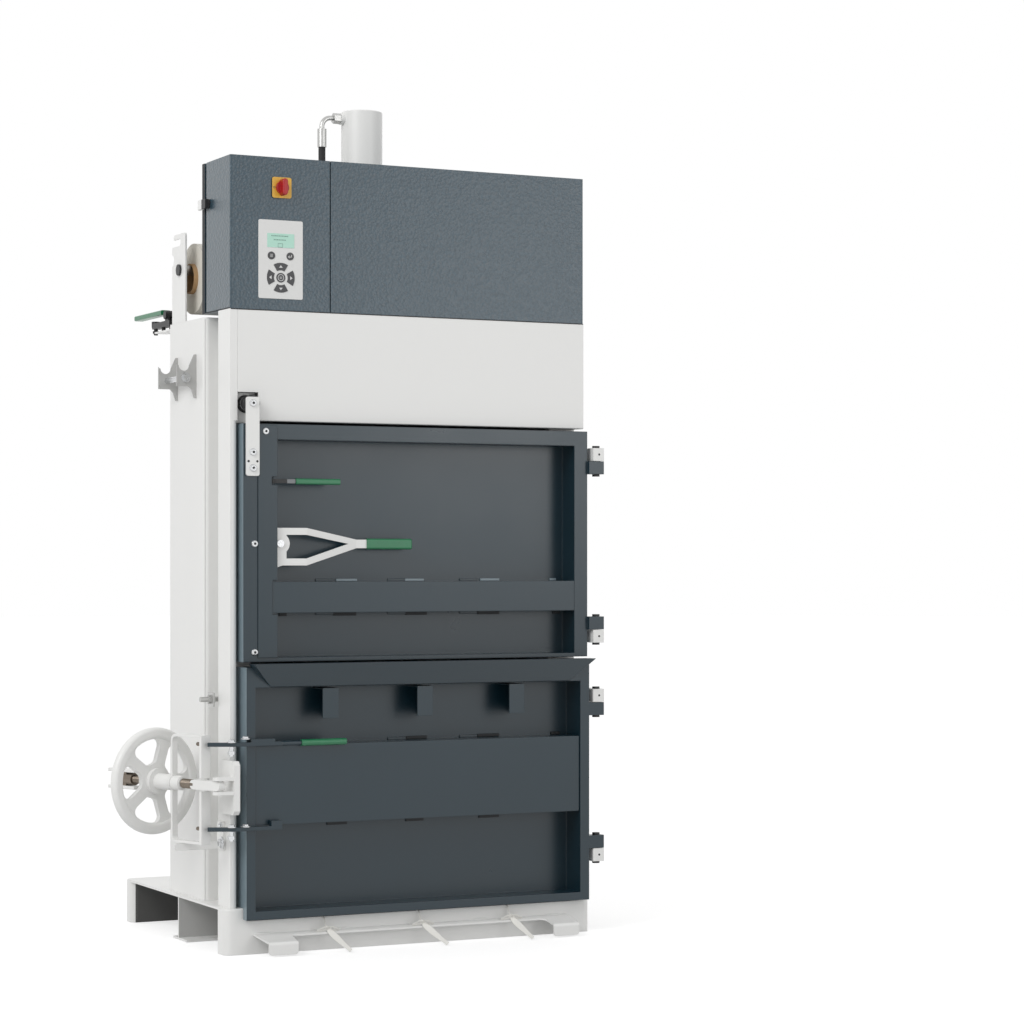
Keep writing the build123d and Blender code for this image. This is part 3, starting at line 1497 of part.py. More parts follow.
# Lock arms on the lower door's stile, with the rod of the pull handle
arm_y = lower_front - arm_width / 2
arm_end = along_clamp(yoke_front - arm_end_gap)
with BuildPart() as lock_arms:
    for arm_bottom in (upper_arm_z, lower_arm_z):
        with BuildSketch(Plane.XY.offset(arm_bottom)):
            with BuildLine() as arm_line:
                FilletPolyline((arm_right, arm_y), (arm_turn_x, arm_y), arm_end, radius=arm_turn_radius)
            trace(line_width=arm_width)
        extrude(amount=arm_height)
    block(arm_right - arm_tip_width, arm_right, arm_y - arm_width / 2, arm_y + arm_width / 2,
          lower_arm_z + arm_height, lower_arm_z + arm_height + arm_tip_height)
    arm_top = upper_arm_z + arm_height
    plate_right = arm_right - arm_plate_inset
    block(plate_right - arm_plate_length, plate_right, arm_y - arm_width / 2, arm_y + arm_width / 2,
          arm_top, arm_top + arm_plate)
    handle_z = upper_arm_z + arm_height / 2
    with BuildSketch(Plane(origin=(arm_right, arm_y, handle_z), z_dir=(1, 0, 0))):
        Circle(handle_rod_radius)
    extrude(amount=(handle_rod_end + handle_grip_end) / 2 - arm_right)
finish(lock_arms, "lock_arms")

with BuildPart() as pull_grip:
    with BuildSketch(Plane(origin=(handle_rod_end, arm_y, handle_z), z_dir=(1, 0, 0))):
        Circle(handle_grip_radius)
    extrude(amount=handle_grip_end - handle_rod_end)
    fillet(pull_grip.faces().sort_by(Axis.X)[-1].edges(), handle_grip_corner)
    with BuildSketch(Plane(origin=(handle_rod_end, arm_y, handle_z), z_dir=(1, 0, 0))):
        Circle(handle_rod_radius)
    extrude(amount=(handle_grip_end - handle_rod_end) / 2, mode=Mode.SUBTRACT)
finish(pull_grip, "pull_grip")

# Block on the left post, with two lugs and the pin that the spindle swings on
block_left = -body_half - block_thickness
lug_inner = clamp_z + eye_height / 2 + eye_gap
with BuildPart() as lock_block:
    block(block_left, -body_half, block_front, block_back, block_bottom, block_top)
    chamfer(lock_block.edges().filter_by(Axis.X), block_chamfer)
    for lug_bottom in (lug_inner, 2 * clamp_z - lug_inner - lug_plate):
        block(lug_left, block_left, clamp_y - lug_width / 2, clamp_y + lug_width / 2, lug_bottom,
              lug_bottom + lug_plate)
    fillet(lock_block.edges().filter_by(Axis.Z).group_by(Axis.X)[0], lug_width / 3)
    with BuildSketch(Plane(origin=(clamp_x, clamp_y, 2 * clamp_z - lug_inner))):
        Circle(eye_pin_radius)
    extrude(amount=2 * (lug_inner - clamp_z))
finish(lock_block, "lock_block")

# Spindle with an oblong eye at its front end
with BuildPart() as clamp_spindle:
    with BuildSketch(side_plane.offset(-eye_width / 2)):
        with Locations(((eye_start + eye_end) / 2, 0)):
            SlotOverall(eye_end - eye_start, eye_height)
    extrude(amount=eye_width)
    with BuildSketch(axis_plane.offset(eye_end - eye_height / 2)):
        Circle(spindle_radius)
    extrude(amount=spindle_end - eye_end + eye_height / 2)
    with BuildSketch(Plane(origin=(clamp_x, clamp_y, clamp_z - eye_height))):
        Circle(eye_pin_radius + pin_clearance)
    extrude(amount=2 * eye_height, mode=Mode.SUBTRACT)
finish(clamp_spindle, "clamp_spindle")

# Yoke: a strip bent to a loop behind an upright bar that is slotted for the eye, with a collar at its back
yoke_low = yoke_bottom - clamp_z
yoke_high = yoke_top - clamp_z
yoke_middle = ((yoke_front + yoke_back) / 2, (yoke_low + yoke_high) / 2)
with BuildPart() as clamp_yoke:
    with BuildSketch(side_plane.offset(-yoke_strip_width / 2)) as yoke_loop:
        with Locations(yoke_middle):
            Rectangle(yoke_back - yoke_front, yoke_high - yoke_low)
        fillet(yoke_loop.vertices().group_by(Axis.X)[-1], yoke_corner)
        inside_front = yoke_front + yoke_bar
        inside_back = yoke_back - yoke_strip
        with Locations(((inside_front + inside_back) / 2, yoke_middle[1])):
            RectangleRounded(inside_back - inside_front, yoke_high - yoke_low - 2 * yoke_strip,
                             yoke_corner - yoke_strip, mode=Mode.SUBTRACT)
    extrude(amount=yoke_strip_width)
    with BuildSketch(side_plane.offset(-yoke_width / 2)):
        with Locations((yoke_front + yoke_bar / 2, yoke_middle[1])):
            Rectangle(yoke_bar, yoke_high - yoke_low)
    extrude(amount=yoke_width)
    with BuildSketch(axis_plane.offset(inside_back)):
        Circle(yoke_collar_radius)
    extrude(amount=yoke_strip)
    with BuildSketch(side_plane.offset(yoke_slot_far)):
        with Locations((yoke_front, 0)):
            Rectangle(4 * yoke_bar, 2 * yoke_slot_half)
    extrude(amount=-yoke_width - cut, mode=Mode.SUBTRACT)
    with BuildSketch(axis_plane.offset(inside_back - cut)):
        Circle(sleeve_radius + sleeve_gap)
    extrude(amount=2 * cut, mode=Mode.SUBTRACT)
finish(clamp_yoke, "clamp_yoke")

# Five-spoke handwheel, cast with its hub and long sleeve
with BuildPart() as handwheel:
    with BuildSketch(axis_plane.offset(wheel_place - web_thickness / 2)):
        Circle(wheel_radius - rim_width / 2)
    extrude(amount=web_thickness)
    with BuildSketch(axis_plane.offset(wheel_place - hub_length / 2)):
        Circle(hub_radius)
    extrude(amount=hub_length)
    with BuildSketch(axis_plane.offset(wheel_place - rim_thickness)) as wheel_windows:
        Circle(window_outer)
        Circle(window_inner, mode=Mode.SUBTRACT)
        with PolarLocations(0, spoke_count):
            with Locations((window_outer / 2, 0)):
                Rectangle(window_outer + window_inner, spoke_width, mode=Mode.SUBTRACT)
        fillet(wheel_windows.vertices(), window_corner)
    extrude(amount=2 * rim_thickness, mode=Mode.SUBTRACT)
    rim_middle = wheel_radius - rim_width / 2
    with BuildSketch(Plane(origin=clamp_origin, x_dir=clamp_across, z_dir=(0, 0, 1))):
        with Locations((rim_middle, wheel_place)):
            RectangleRounded(rim_width, rim_thickness, rim_corner)
    revolve(axis=Axis(clamp_origin, clamp_along))
    with BuildSketch(axis_plane.offset(sleeve_start)):
        Circle(sleeve_radius)
    extrude(amount=wheel_place - sleeve_start)
    with BuildSketch(axis_plane.offset(sleeve_start - cut)):
        Circle(sleeve_bore)
    extrude(amount=wheel_place - sleeve_start + hub_length + cut, mode=Mode.SUBTRACT)
finish(handwheel, "handwheel")

# Folded rest that the yoke hangs over, bolted to the post
rest_top = yoke_bottom - running_gap
with BuildPart() as yoke_rest:
    block(-body_half - rest_plate, -body_half, rest_foot_front, rest_y + rest_plate, rest_top - rest_height,
          rest_foot_top)
    with BuildSketch(Plane(origin=(0, rest_y, 0), x_dir=(-1, 0, 0), z_dir=(0, 1, 0))):
        rest_middle = (-(rest_left - body_half) / 2, rest_top - rest_height / 2)
        with Locations(rest_middle):
            RectangleRounded(-rest_left - body_half, rest_height, rest_corner)
        with Locations((body_half + rest_corner, rest_top - rest_height / 2)):
            Rectangle(2 * rest_corner, rest_height)
    extrude(amount=rest_plate)
finish(yoke_rest, "yoke_rest")

# Door switch: a threaded sensor in a plate on the back of the post
with BuildPart() as door_switch:
    block(sensor_plate_left, sensor_plate_left + sensor_plate, post_back, sensor_y + sensor_plate_half,
          sensor_z - sensor_plate_half, sensor_z + sensor_plate_half)
    with BuildSketch(Plane(origin=(sensor_left, sensor_y, sensor_z), z_dir=(1, 0, 0))):
        Circle(sensor_radius)
    extrude(amount=sensor_right - sensor_left)
    for nut_x in (sensor_plate_left - sensor_nut, sensor_plate_left + sensor_plate):
        with BuildSketch(Plane(origin=(nut_x, sensor_y, sensor_z), z_dir=(1, 0, 0))):
            RegularPolygon(sensor_nut_radius, 6)
        extrude(amount=sensor_nut)
finish(door_switch, "door_switch")

# Switch cable from the sensor up and into the post's back
with BuildPart() as switch_cable:
    with BuildLine() as cable_path:
        FilletPolyline(
            (sensor_right, sensor_y, sensor_z),
            (cable_x, sensor_y, sensor_z),
            (cable_x, sensor_y, sensor_z + cable_rise),
            (cable_x, post_back, sensor_z + cable_rise),
            radius=cable_bend,
        )
    with BuildSketch(Plane(origin=cable_path.line @ 0, z_dir=cable_path.line % 0)):
        Circle(cable_radius)
    sweep(path=cable_path.line)
finish(switch_cable, "switch_cable")

# Loose strap ends, each a plain tube along its route
tangent_share = 0.45
for strap_number, place in enumerate(strap_places, start=1):
    reach_share = strap_reach_shares[strap_number - 1]
    points = [Vector(place + reach_share * out, depth, height) for out, depth, height in strap_route]
    runs = [after - before for before, after in zip(points, points[1:])]
    radii = []
    for run, next_run in zip(runs, runs[1:]):
        half_turn = radians(run.get_angle(next_run)) / 2
        radii.append(tangent_share * min(run.length, next_run.length) / tan(half_turn))
    print("strap end", strap_number, "radii", [round(radius) for radius in radii])
    with BuildPart() as strap_end:
        with BuildLine() as strap_line:
            FilletPolyline(*points, radius=radii)
        with BuildSketch(Plane(origin=strap_line.line @ 0, z_dir=strap_line.line % 0)):
            Circle(strap_tube_radius)
        sweep(path=strap_line.line)
    finish(strap_end, f"strap_end_{strap_number}")
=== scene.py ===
"""Looks of the vertical baling press: materials, fasteners, key symbols, strap ends, light and camera."""

import json
import math

import bmesh
import bpy
from mathutils import Matrix, Vector


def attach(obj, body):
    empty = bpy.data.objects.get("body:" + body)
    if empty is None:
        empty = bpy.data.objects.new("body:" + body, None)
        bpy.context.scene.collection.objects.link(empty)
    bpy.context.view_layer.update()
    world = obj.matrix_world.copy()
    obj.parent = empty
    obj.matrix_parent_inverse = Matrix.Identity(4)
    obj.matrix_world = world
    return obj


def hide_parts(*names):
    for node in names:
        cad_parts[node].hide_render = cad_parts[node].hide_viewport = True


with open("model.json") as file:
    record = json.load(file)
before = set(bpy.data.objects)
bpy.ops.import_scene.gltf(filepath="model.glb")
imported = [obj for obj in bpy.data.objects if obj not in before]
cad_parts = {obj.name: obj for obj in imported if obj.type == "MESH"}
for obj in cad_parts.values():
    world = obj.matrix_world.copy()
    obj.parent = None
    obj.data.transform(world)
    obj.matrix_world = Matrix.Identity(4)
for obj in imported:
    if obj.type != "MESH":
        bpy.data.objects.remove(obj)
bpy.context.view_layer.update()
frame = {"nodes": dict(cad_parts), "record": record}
nodes = frame["nodes"]
MM = 0.001


# Materials

def material(name, colour, roughness, metallic=0.0, mottle=0.05, grain_scale=900.0, grain=0.04, patch_scale=6.0,
             coat=0.0, bevel=1.2):
    """A procedural finish: patchy tone, uneven gloss, fine surface grain and softened edges."""
    made = bpy.data.materials.new(name)
    made.use_nodes = True
    tree = made.node_tree
    shader = tree.nodes["Principled BSDF"]
    shader.inputs["Metallic"].default_value = metallic
    shader.inputs["Coat Weight"].default_value = coat
    shader.inputs["Coat Roughness"].default_value = 0.28
    where = tree.nodes.new("ShaderNodeTexCoord")
    patches = tree.nodes.new("ShaderNodeTexNoise")
    patches.inputs["Scale"].default_value = patch_scale
    patches.inputs["Detail"].default_value = 6.0
    tree.links.new(where.outputs["Object"], patches.inputs["Vector"])
    tones = tree.nodes.new("ShaderNodeMix")
    tones.data_type = "RGBA"
    tones.inputs["A"].default_value = (*[part * (1 - mottle) for part in colour], 1)
    tones.inputs["B"].default_value = (*[min(1, part * (1 + mottle)) for part in colour], 1)
    tree.links.new(patches.outputs["Fac"], tones.inputs["Factor"])
    tree.links.new(tones.outputs["Result"], shader.inputs["Base Color"])
    gloss = tree.nodes.new("ShaderNodeMapRange")
    gloss.inputs["To Min"].default_value = max(0.02, roughness - 0.07)
    gloss.inputs["To Max"].default_value = min(1.0, roughness + 0.07)
    tree.links.new(patches.outputs["Fac"], gloss.inputs["Value"])
    tree.links.new(gloss.outputs["Result"], shader.inputs["Roughness"])
    fine = tree.nodes.new("ShaderNodeTexNoise")
    fine.inputs["Scale"].default_value = grain_scale
    fine.inputs["Detail"].default_value = 2.0
    tree.links.new(where.outputs["Object"], fine.inputs["Vector"])
    edges = tree.nodes.new("ShaderNodeBevel")
    edges.samples = 4
    edges.inputs["Radius"].default_value = bevel * MM
    bump = tree.nodes.new("ShaderNodeBump")
    bump.name = "grain"
    bump.inputs["Strength"].default_value = grain
    bump.inputs["Distance"].default_value = MM
    tree.links.new(fine.outputs["Fac"], bump.inputs["Height"])
    tree.links.new(edges.outputs["Normal"], bump.inputs["Normal"])
    tree.links.new(bump.outputs["Normal"], shader.inputs["Normal"])
    return made


def add_relief(made, texture, strength, distance, **sockets):
    """Lay a second, patterned bump over a material's grain; returns its texture and mapping nodes."""
    tree = made.node_tree
    pattern = tree.nodes.new(texture)
    for socket, value in sockets.items():
        pattern.inputs[socket].default_value = value
    place = tree.nodes.new("ShaderNodeMapping")
    where = next(node for node in tree.nodes if node.type == "TEX_COORD")
    tree.links.new(where.outputs["Object"], place.inputs["Vector"])
    tree.links.new(place.outputs["Vector"], pattern.inputs["Vector"])
    bump = tree.nodes.new("ShaderNodeBump")
    bump.inputs["Strength"].default_value = strength
    bump.inputs["Distance"].default_value = distance * MM
    tree.links.new(pattern.outputs[0], bump.inputs["Height"])
    tree.links.new(tree.nodes["grain"].outputs["Normal"], bump.inputs["Normal"])
    tree.links.new(bump.outputs["Normal"], tree.nodes["Principled BSDF"].inputs["Normal"])
    return pattern, place


white_paint = material("white_paint", (0.845, 0.845, 0.83), 0.36, mottle=0.02, grain=0.05, coat=0.15)
# Painted shade: a dark grey and a mid grey for forward faces deep inside the base, darkened where shade falls in its
# channels.
rear_beam_painted_shade = material("rear_beam_painted_shade", (0.075, 0.075, 0.073), 0.6, mottle=0.06, grain=0.08)
web_painted_shade = material("web_painted_shade", (0.50, 0.50, 0.49), 0.5, mottle=0.03, grain=0.06)
dark_paint = material("dark_paint", (0.004, 0.020, 0.031), 0.30, mottle=0.06, grain=0.05, coat=0.25, bevel=3.0)
# Painted reflection: a lighter blue-grey for faces of the dark paint that mirror the light surroundings.
painted_reflection_grey = material("painted_reflection_grey", (0.19, 0.25, 0.285), 0.30, mottle=0.04, grain=0.05, coat=0.5)
# Painted shade: near black for gaps and tabs in shadow.
painted_shade_black = material("painted_shade_black", (0.008, 0.010, 0.012), 0.6, mottle=0.1)
hammer_paint = material("hammer_paint", (0.020, 0.050, 0.072), 0.32, mottle=0.65, grain=0.04, patch_scale=130.0,
                        coat=0.55, bevel=2.0)
add_relief(hammer_paint, "ShaderNodeTexVoronoi", 0.6, 1.5, Scale=150.0, Randomness=1.0)
grey_paint = material("grey_paint", (0.22, 0.23, 0.24), 0.45)
bare_steel = material("bare_steel", (0.50, 0.50, 0.49), 0.30, metallic=1.0, mottle=0.10, patch_scale=40.0, bevel=0.5)
dark_steel = material("dark_steel", (0.20, 0.17, 0.14), 0.38, metallic=1.0, mottle=0.15, patch_scale=60.0, bevel=0.4)
zinc_plate = material("zinc_plate", (0.47, 0.47, 0.46), 0.45, metallic=0.35, mottle=0.06, patch_scale=25.0, bevel=0.8)
green_plastic = material("green_plastic", (0.010, 0.165, 0.065), 0.30, mottle=0.12, patch_scale=60.0, coat=0.2)
black_plastic = material("black_plastic", (0.012, 0.012, 0.013), 0.42, mottle=0.10, bevel=0.6)
black_rubber = material("black_rubber", (0.010, 0.010, 0.011), 0.62, mottle=0.15, grain=0.12, bevel=0.5)
strap_weave = material("strap", (0.84, 0.83, 0.79), 0.72, mottle=0.05, bevel=0.3)
add_relief(strap_weave, "ShaderNodeTexWave", 0.3, 0.3, Scale=700.0)
strap_roll = material("strap_roll", (0.72, 0.69, 0.62), 0.68, mottle=0.05, bevel=0.5)
roll_layers, roll_place = add_relief(strap_roll, "ShaderNodeTexWave", 0.5, 0.6, Scale=160.0, Distortion=0.6)
roll_layers.wave_type = "RINGS"
roll_layers.rings_direction = "X"
roll_place.inputs["Location"].default_value = (0, -0.335, -1.5643)
card = material("card", (0.42, 0.26, 0.13), 0.80, mottle=0.12, grain=0.15, patch_scale=25.0, bevel=0.4)
keypad = material("keypad", (0.77, 0.77, 0.76), 0.48, mottle=0.02, bevel=0.4)
key_grey = material("key_grey", (0.055, 0.055, 0.058), 0.45, bevel=0.3)
key_mark = material("key_mark", (0.70, 0.70, 0.70), 0.50, bevel=0.1)
display = material("display", (0.45, 0.74, 0.62), 0.22, mottle=0.02, bevel=0.2)
display_ink = material("display_ink", (0.20, 0.36, 0.30), 0.40, bevel=0.1)
yellow_plastic = material("yellow_plastic", (0.72, 0.42, 0.05), 0.35, bevel=0.5)
red_plastic = material("red_plastic", (0.40, 0.012, 0.014), 0.32, bevel=0.8)
zinc = material("zinc", (0.62, 0.63, 0.64), 0.26, metallic=1.0, mottle=0.08, patch_scale=90.0, bevel=0.3)

finishes = {
    "white_paint": white_paint, "dark_paint": dark_paint, "hammer_paint": hammer_paint, "grey_paint": grey_paint,
    "bare_steel": bare_steel, "green_plastic": green_plastic, "black_plastic": black_plastic,
    "black_rubber": black_rubber, "strap_roll": strap_roll, "strap": strap_weave, "keypad": keypad,
    "yellow_plastic": yellow_plastic, "red_plastic": red_plastic,
}
for subpart in frame["record"]["subparts"]:
    mesh = nodes[subpart["node"]].data
    mesh.materials.clear()
    mesh.materials.append(finishes[subpart["material_slot"]])


def paint_faces(node, made, test):
    """Give the faces of a CAD node that pass a test, on centre and normal, another material."""
    mesh = nodes[node].data
    mesh.materials.append(made)
    for face in mesh.polygons:
        if test(face.center / MM, face.normal):
            face.material_index = len(mesh.materials) - 1


clamp_axis = Vector((-0.3420, 0.9397, 0))
clamp_pivot = Vector((-498, -47, 388))


def along(point):
    """How far a point lies along the clamp's spindle, from its pivot."""
    return (point - clamp_pivot).dot(clamp_axis)


for number in (1, 2, 3):
    paint_faces(f"strap_roll_{number}", card, lambda c, n: math.hypot(c.y - 335.0, c.z - 1564.3) < 36.05)
paint_faces("control_panel", key_grey, lambda c, n: c.y < -2.1 and c.z < 1602)
paint_faces("control_panel", display, lambda c, n: c.y < -2.1 and c.z > 1602)
paint_faces("switch_plate", black_plastic, lambda c, n: n.y > -0.5)
paint_faces("interlock_buffer", zinc, lambda c, n: math.hypot(c.x + 409.5, c.z - 1251) < 17 and -22 < c.y < 31)
paint_faces("hinge_pins", black_plastic, lambda c, n: abs(n.z) > 0.9 or math.hypot(c.x - 479.5, c.y + 16) > 7)
# The doors' left flange faces take a lighter blue-grey, a painted reflection of the light post beside them.
for door in ("upper_door_pan", "lower_door_pan"):
    paint_faces(door, painted_reflection_grey, lambda c, n: n.x < -0.9 and c.x < -424)
# The hood frame's left side faces are near black, painted shade beside the gap under the hood.
paint_faces("hood_frame", painted_shade_black, lambda c, n: n.x < -0.9 and c.x < -440)
paint_faces("clamp_spindle", white_paint, lambda c, n: along(c) < 91.5)
paint_faces("clamp_spindle", dark_steel, lambda c, n: along(c) >= 91.5)
paint_faces("holder_plates", zinc_plate, lambda c, n: True)
paint_faces("latch_lever", black_plastic, lambda c, n: True)
paint_faces("holder_bolt", zinc, lambda c, n: True)
paint_faces("upper_door_pan", zinc, lambda c, n: math.hypot(c.x + 338, c.z - 933) < 9 and c.y < -12)
# The base's forward faces inside its channels take painted shade: dark grey on the rear beam's inner face, mid grey on
# the web.
paint_faces("base_frame", rear_beam_painted_shade, lambda c, n: n.y < -0.9 and c.y > 600 and 6 < c.z < 99)
paint_faces("base_frame", web_painted_shade, lambda c, n: n.y < -0.9 and 290 < c.y < 320)


# Fasteners and other small pieces

def place_piece(name, shape, made, body):
    """Make an object of a bmesh, in the shared frame, and let it ride on a CAD body."""
    mesh = bpy.data.meshes.new(name)
    bmesh.ops.recalc_face_normals(shape, faces=shape.faces)
    shape.to_mesh(mesh)
    shape.free()
    mesh.materials.append(made)
    piece = bpy.data.objects.new(name, mesh)
    bpy.context.scene.collection.objects.link(piece)
    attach(piece, body)
    return piece


def turned(shape, origin, direction, outline, sides=24, hollow=False):
    """Add a turned form to a bmesh: outline is a list of (height along the axis, radius), in millimetres."""
    turn = Vector(direction).normalized().to_track_quat("Z", "Y").to_matrix().to_4x4()
    stand = Matrix.Translation(Vector(origin) * MM) @ turn
    rings = []
    for height, radius in outline:
        ring = []
        for step in range(sides):
            angle = 2 * math.pi * step / sides
            point = Vector((radius * math.cos(angle), radius * math.sin(angle), height)) * MM
            ring.append(shape.verts.new(stand @ point))
        rings.append(ring)
    for low, high in zip(rings, rings[1:] + (rings[:1] if hollow else [])):
        for step in range(sides):
            after = (step + 1) % sides
            shape.faces.new((low[step], low[after], high[after], high[step]))
    if not hollow:
        shape.faces.new(list(reversed(rings[0])))
        shape.faces.new(rings[-1])


def bolts(name, body, places, direction, radius):
    """One piece of hex bolts with washers, all facing the same way."""
    height = radius * 1.1
    shape = bmesh.new()
    for place in places:
        turned(shape, place, direction, [(0, radius * 1.75), (radius * 0.3, radius * 1.75),
                                         (radius * 0.36, radius * 1.65)])
        turned(shape, place, direction, [(radius * 0.3, radius * 1.2), (height * 0.86, radius * 1.2),
                                         (height, radius * 1.0)], sides=6)
    place_piece(name, shape, zinc, body)


def button_screws(name, body, places, direction, radius):
    """One piece of round-headed screws with a socket."""
    shape = bmesh.new()
    for place in places:
        turned(shape, place, direction, [(0, radius), (radius * 0.25, radius), (radius * 0.5, radius * 0.86),
                                         (radius * 0.62, radius * 0.55), (radius * 0.62, radius * 0.4),
                                         (radius * 0.3, radius * 0.38)])
    place_piece(name, shape, zinc, body)


def studs(name, body, places, direction, outline, made=zinc, sides=24, hollow=False):
    """One piece of alike turned forms; a hollow one's outline closes on itself."""
    shape = bmesh.new()
    for place in places:
        turned(shape, place, direction, outline, sides, hollow)
    place_piece(name, shape, made, body)


def blocks(name, body, boxes, made, edge, stand=Matrix()):
    """One piece of boxes with rounded edges: each box is its two corners, in millimetres, in the frame of stand."""
    shape = bmesh.new()
    for low, high in boxes:
        low, high = Vector(low) * MM, Vector(high) * MM
        fit = stand @ Matrix.Translation((low + high) / 2) @ Matrix.Diagonal((*(high - low), 1))
        corners = bmesh.ops.create_cube(shape, size=1, matrix=fit)["verts"]
        edges = list({side for corner in corners for side in corner.link_edges})
        bmesh.ops.bevel(shape, geom=edges, offset=edge * MM, segments=2, profile=0.5, affect="EDGES")
    place_piece(name, shape, made, body)


def plate_with_hole(name, body, low, high, front, back, hole, radius, made, sides=72):
    """One upright plate between two (x, z) corners with a round hole through it, in millimetres."""
    shape = bmesh.new()
    rings = []
    for face in (front, back):
        inner, outer = [], []
        for step in range(sides):
            angle = 2 * math.pi * step / sides
            run = (math.cos(angle), math.sin(angle))
            reach = min(((high if part > 0 else low)[axis] - hole[axis]) / part
                        for axis, part in enumerate(run) if abs(part) > 1e-6)
            for ring_points, distance in ((inner, radius), (outer, reach)):
                point = (hole[0] + run[0] * distance, face, hole[1] + run[1] * distance)
                ring_points.append(shape.verts.new(Vector(point) * MM))
        rings += [inner, outer]
    for first, last in ((0, 1), (1, 3), (3, 2), (2, 0)):
        for step in range(sides):
            after = (step + 1) % sides
            shape.faces.new((rings[first][step], rings[first][after], rings[last][after], rings[last][step]))
    place_piece(name, shape, made, body)


def door_tabs(name, body, spans, low, high, made):
    """Boxes on the pan behind a door's middle bar, for weld tabs and for dark boxes of painted shade at the tabs: each
    span is its two ends along X.
    """
    boxes = [((left, tab_front, low), (right, tab_back, high)) for left, right in spans]
    blocks(name, body, boxes, made, 0.8)


forwards = (0, -1, 0)
buffer_x, buffer_z = -409.5, 1251
tab_front, tab_back = 38.6, 42.2
thread_pitch = 3
yoke_bar_back, thread_start, sleeve_start, tail_start = 54, 92, 127, 252

strip_places = [(-377, -22.5, 1188), (-403, -20, 932.5), (-403, -20, 686)]
strap_bolt_places = [(buffer_x, -27.5, z) for z in (buffer_z, 1140, 1104)]
button_screws("cover_strip_screws", "upper_door", strip_places, forwards, 8.0)
button_screws("interlock_screws", "upper_door", strap_bolt_places, forwards, 8.5)
# Black hexagons at the bottom of the screw sockets: painted shade in the socket recesses.
studs("screw_socket_shade", "upper_door", strip_places + strap_bolt_places, forwards, [(1.6, 3.0), (3.2, 3.0)],
      black_plastic, 6)
studs("hinge_set_screws", "frame", [(481, -30, z) for z in (1150, 712.5, 570, 186.5)], forwards,
      [(0, 2.6), (0.3, 2.6), (0.4, 2.2)], black_plastic, 12)
bolts("rest_bolt_small", "frame", [(-458.7, 46, 288)], (-1, 0, 0), 6)
bolts("rest_bolt_large", "frame", [(-458.7, 40, 252)], (-1, 0, 0), 8)
bolts("arm_bolts", "lower_door", [(-465, -37, 484), (-431, -37, 491), (-465, -37, 293), (-431, -37, 293)],
      (0, 0, 1), 6)
studs("arm_bolt_ends", "lower_door", [(-465, -37, 475), (-465, -37, 284)], (0, 0, -1),
      [(0, 5), (10, 5), (10, 8.5), (18, 8.5), (18, 5), (22, 4.6)])
thread = []
for turn in range(11):
    thread += [(turn * thread_pitch, 9.9), ((turn + 0.5) * thread_pitch, 10.9)]
studs("spindle_thread", "lock_spindle", [clamp_pivot + clamp_axis * thread_start], clamp_axis, thread, dark_steel)
tail = [(0, 9.6)]
for turn in range(15):
    tail += [(turn * thread_pitch, 9.0), ((turn + 0.5) * thread_pitch, 9.7)]
tail += [(45, 9.0), (45, 14.5), (84, 14.5), (86, 13.4), (86, 9.0), (92, 8.6)]
studs("spindle_tail", "lock_spindle", [clamp_pivot + clamp_axis * tail_start], clamp_axis, tail, dark_steel)
blocks("latch_cap", "cover_latch", [((-466.4, 154, 1706.6), (-457.6, 178.4, 1729.4))], white_paint, 1.5)
blocks("latch_rod", "latch_handle", [((-318, -6.9, 1070.6), (-296.6, -1.1, 1080.4))], grey_paint, 0.8)
# A thin black strip along the joint under the hood, where a dark line runs.
blocks("hood_joint_black_strip", "frame", [((-453, -0.6, 1464), (453, 0.2, 1465.9))], black_rubber, 0.2)
plate_with_hole("notch_plate", "frame", (-436, 1208), (-386, 1277), 20.0, 23.0, (buffer_x, buffer_z), 20.6, white_paint)
studs("buffer_band", "upper_door", [(buffer_x, -11, buffer_z)], (0, 1, 0),
      [(0, 15), (0, 18.2), (19, 18.2), (19, 15)], hollow=True)
studs("strap_holes", "upper_door", [(-420, -27.5, 1119), (-399, -27.5, 1119)], forwards,
      [(-0.5, 2.7), (0.15, 2.7), (0.2, 2.4)], black_rubber, 16)
# Weld tabs above the upper bar, in lighter blue-grey as a painted highlight.
door_tabs("upper_bar_welds", "upper_door", [(-177, -124), (-1, 48), (196, 247), (383, 400)], 846.3, 852.0, painted_reflection_grey)
# Near-black boxes at the bars' tabs: painted shade under and beside the tabs.
shadow_spans = [(-319, -300), (-184, -126), (0, 56), (189, 247), (391, 412)]
door_tabs("upper_bar_shadows", "upper_door", shadow_spans, 766.5, 774.7, painted_shade_black)
door_tabs("lower_bar_tab_shadows", "lower_door", [(2, 56), (189, 246), (386, 410)], 474.3, 481.5, painted_shade_black)
door_tabs("lower_bar_shadows", "lower_door", [(-200, -149), (1, 47), (193, 246)], 281.0, 293.7, painted_shade_black)
studs("shelf_welds", "frame", [(x, -6.6, 46.2) for x in (-396, -206, 157, 348)], (1, 0, 0),
      [(0, 1.0), (2, 2.4), (38, 2.4), (40, 1.0)], white_paint, 12)
studs("sleeve_jacket", "handwheel", [clamp_pivot + clamp_axis * sleeve_start], clamp_axis,
      [(0, 12.6), (0, 15.4), (1.2, 16.5), (26.5, 16.5), (28, 14.6), (32, 14.6), (33.5, 18.5), (89, 18.5), (89, 12.6)],
      white_paint, 40, hollow=True)
clamp_frame = Matrix.Translation(clamp_pivot * MM) @ clamp_axis.to_track_quat("X", "Z").to_matrix().to_4x4()
blocks("tail_fork", "lock_spindle", [((286, -13, rise), (382, 13, rise + 8)) for rise in (15.5, -23.5)], white_paint,
       1.5, clamp_frame)
blocks("tail_block", "lock_spindle", [((318, -10, -16), (340, 10, 16))], dark_steel, 1.0, clamp_frame)
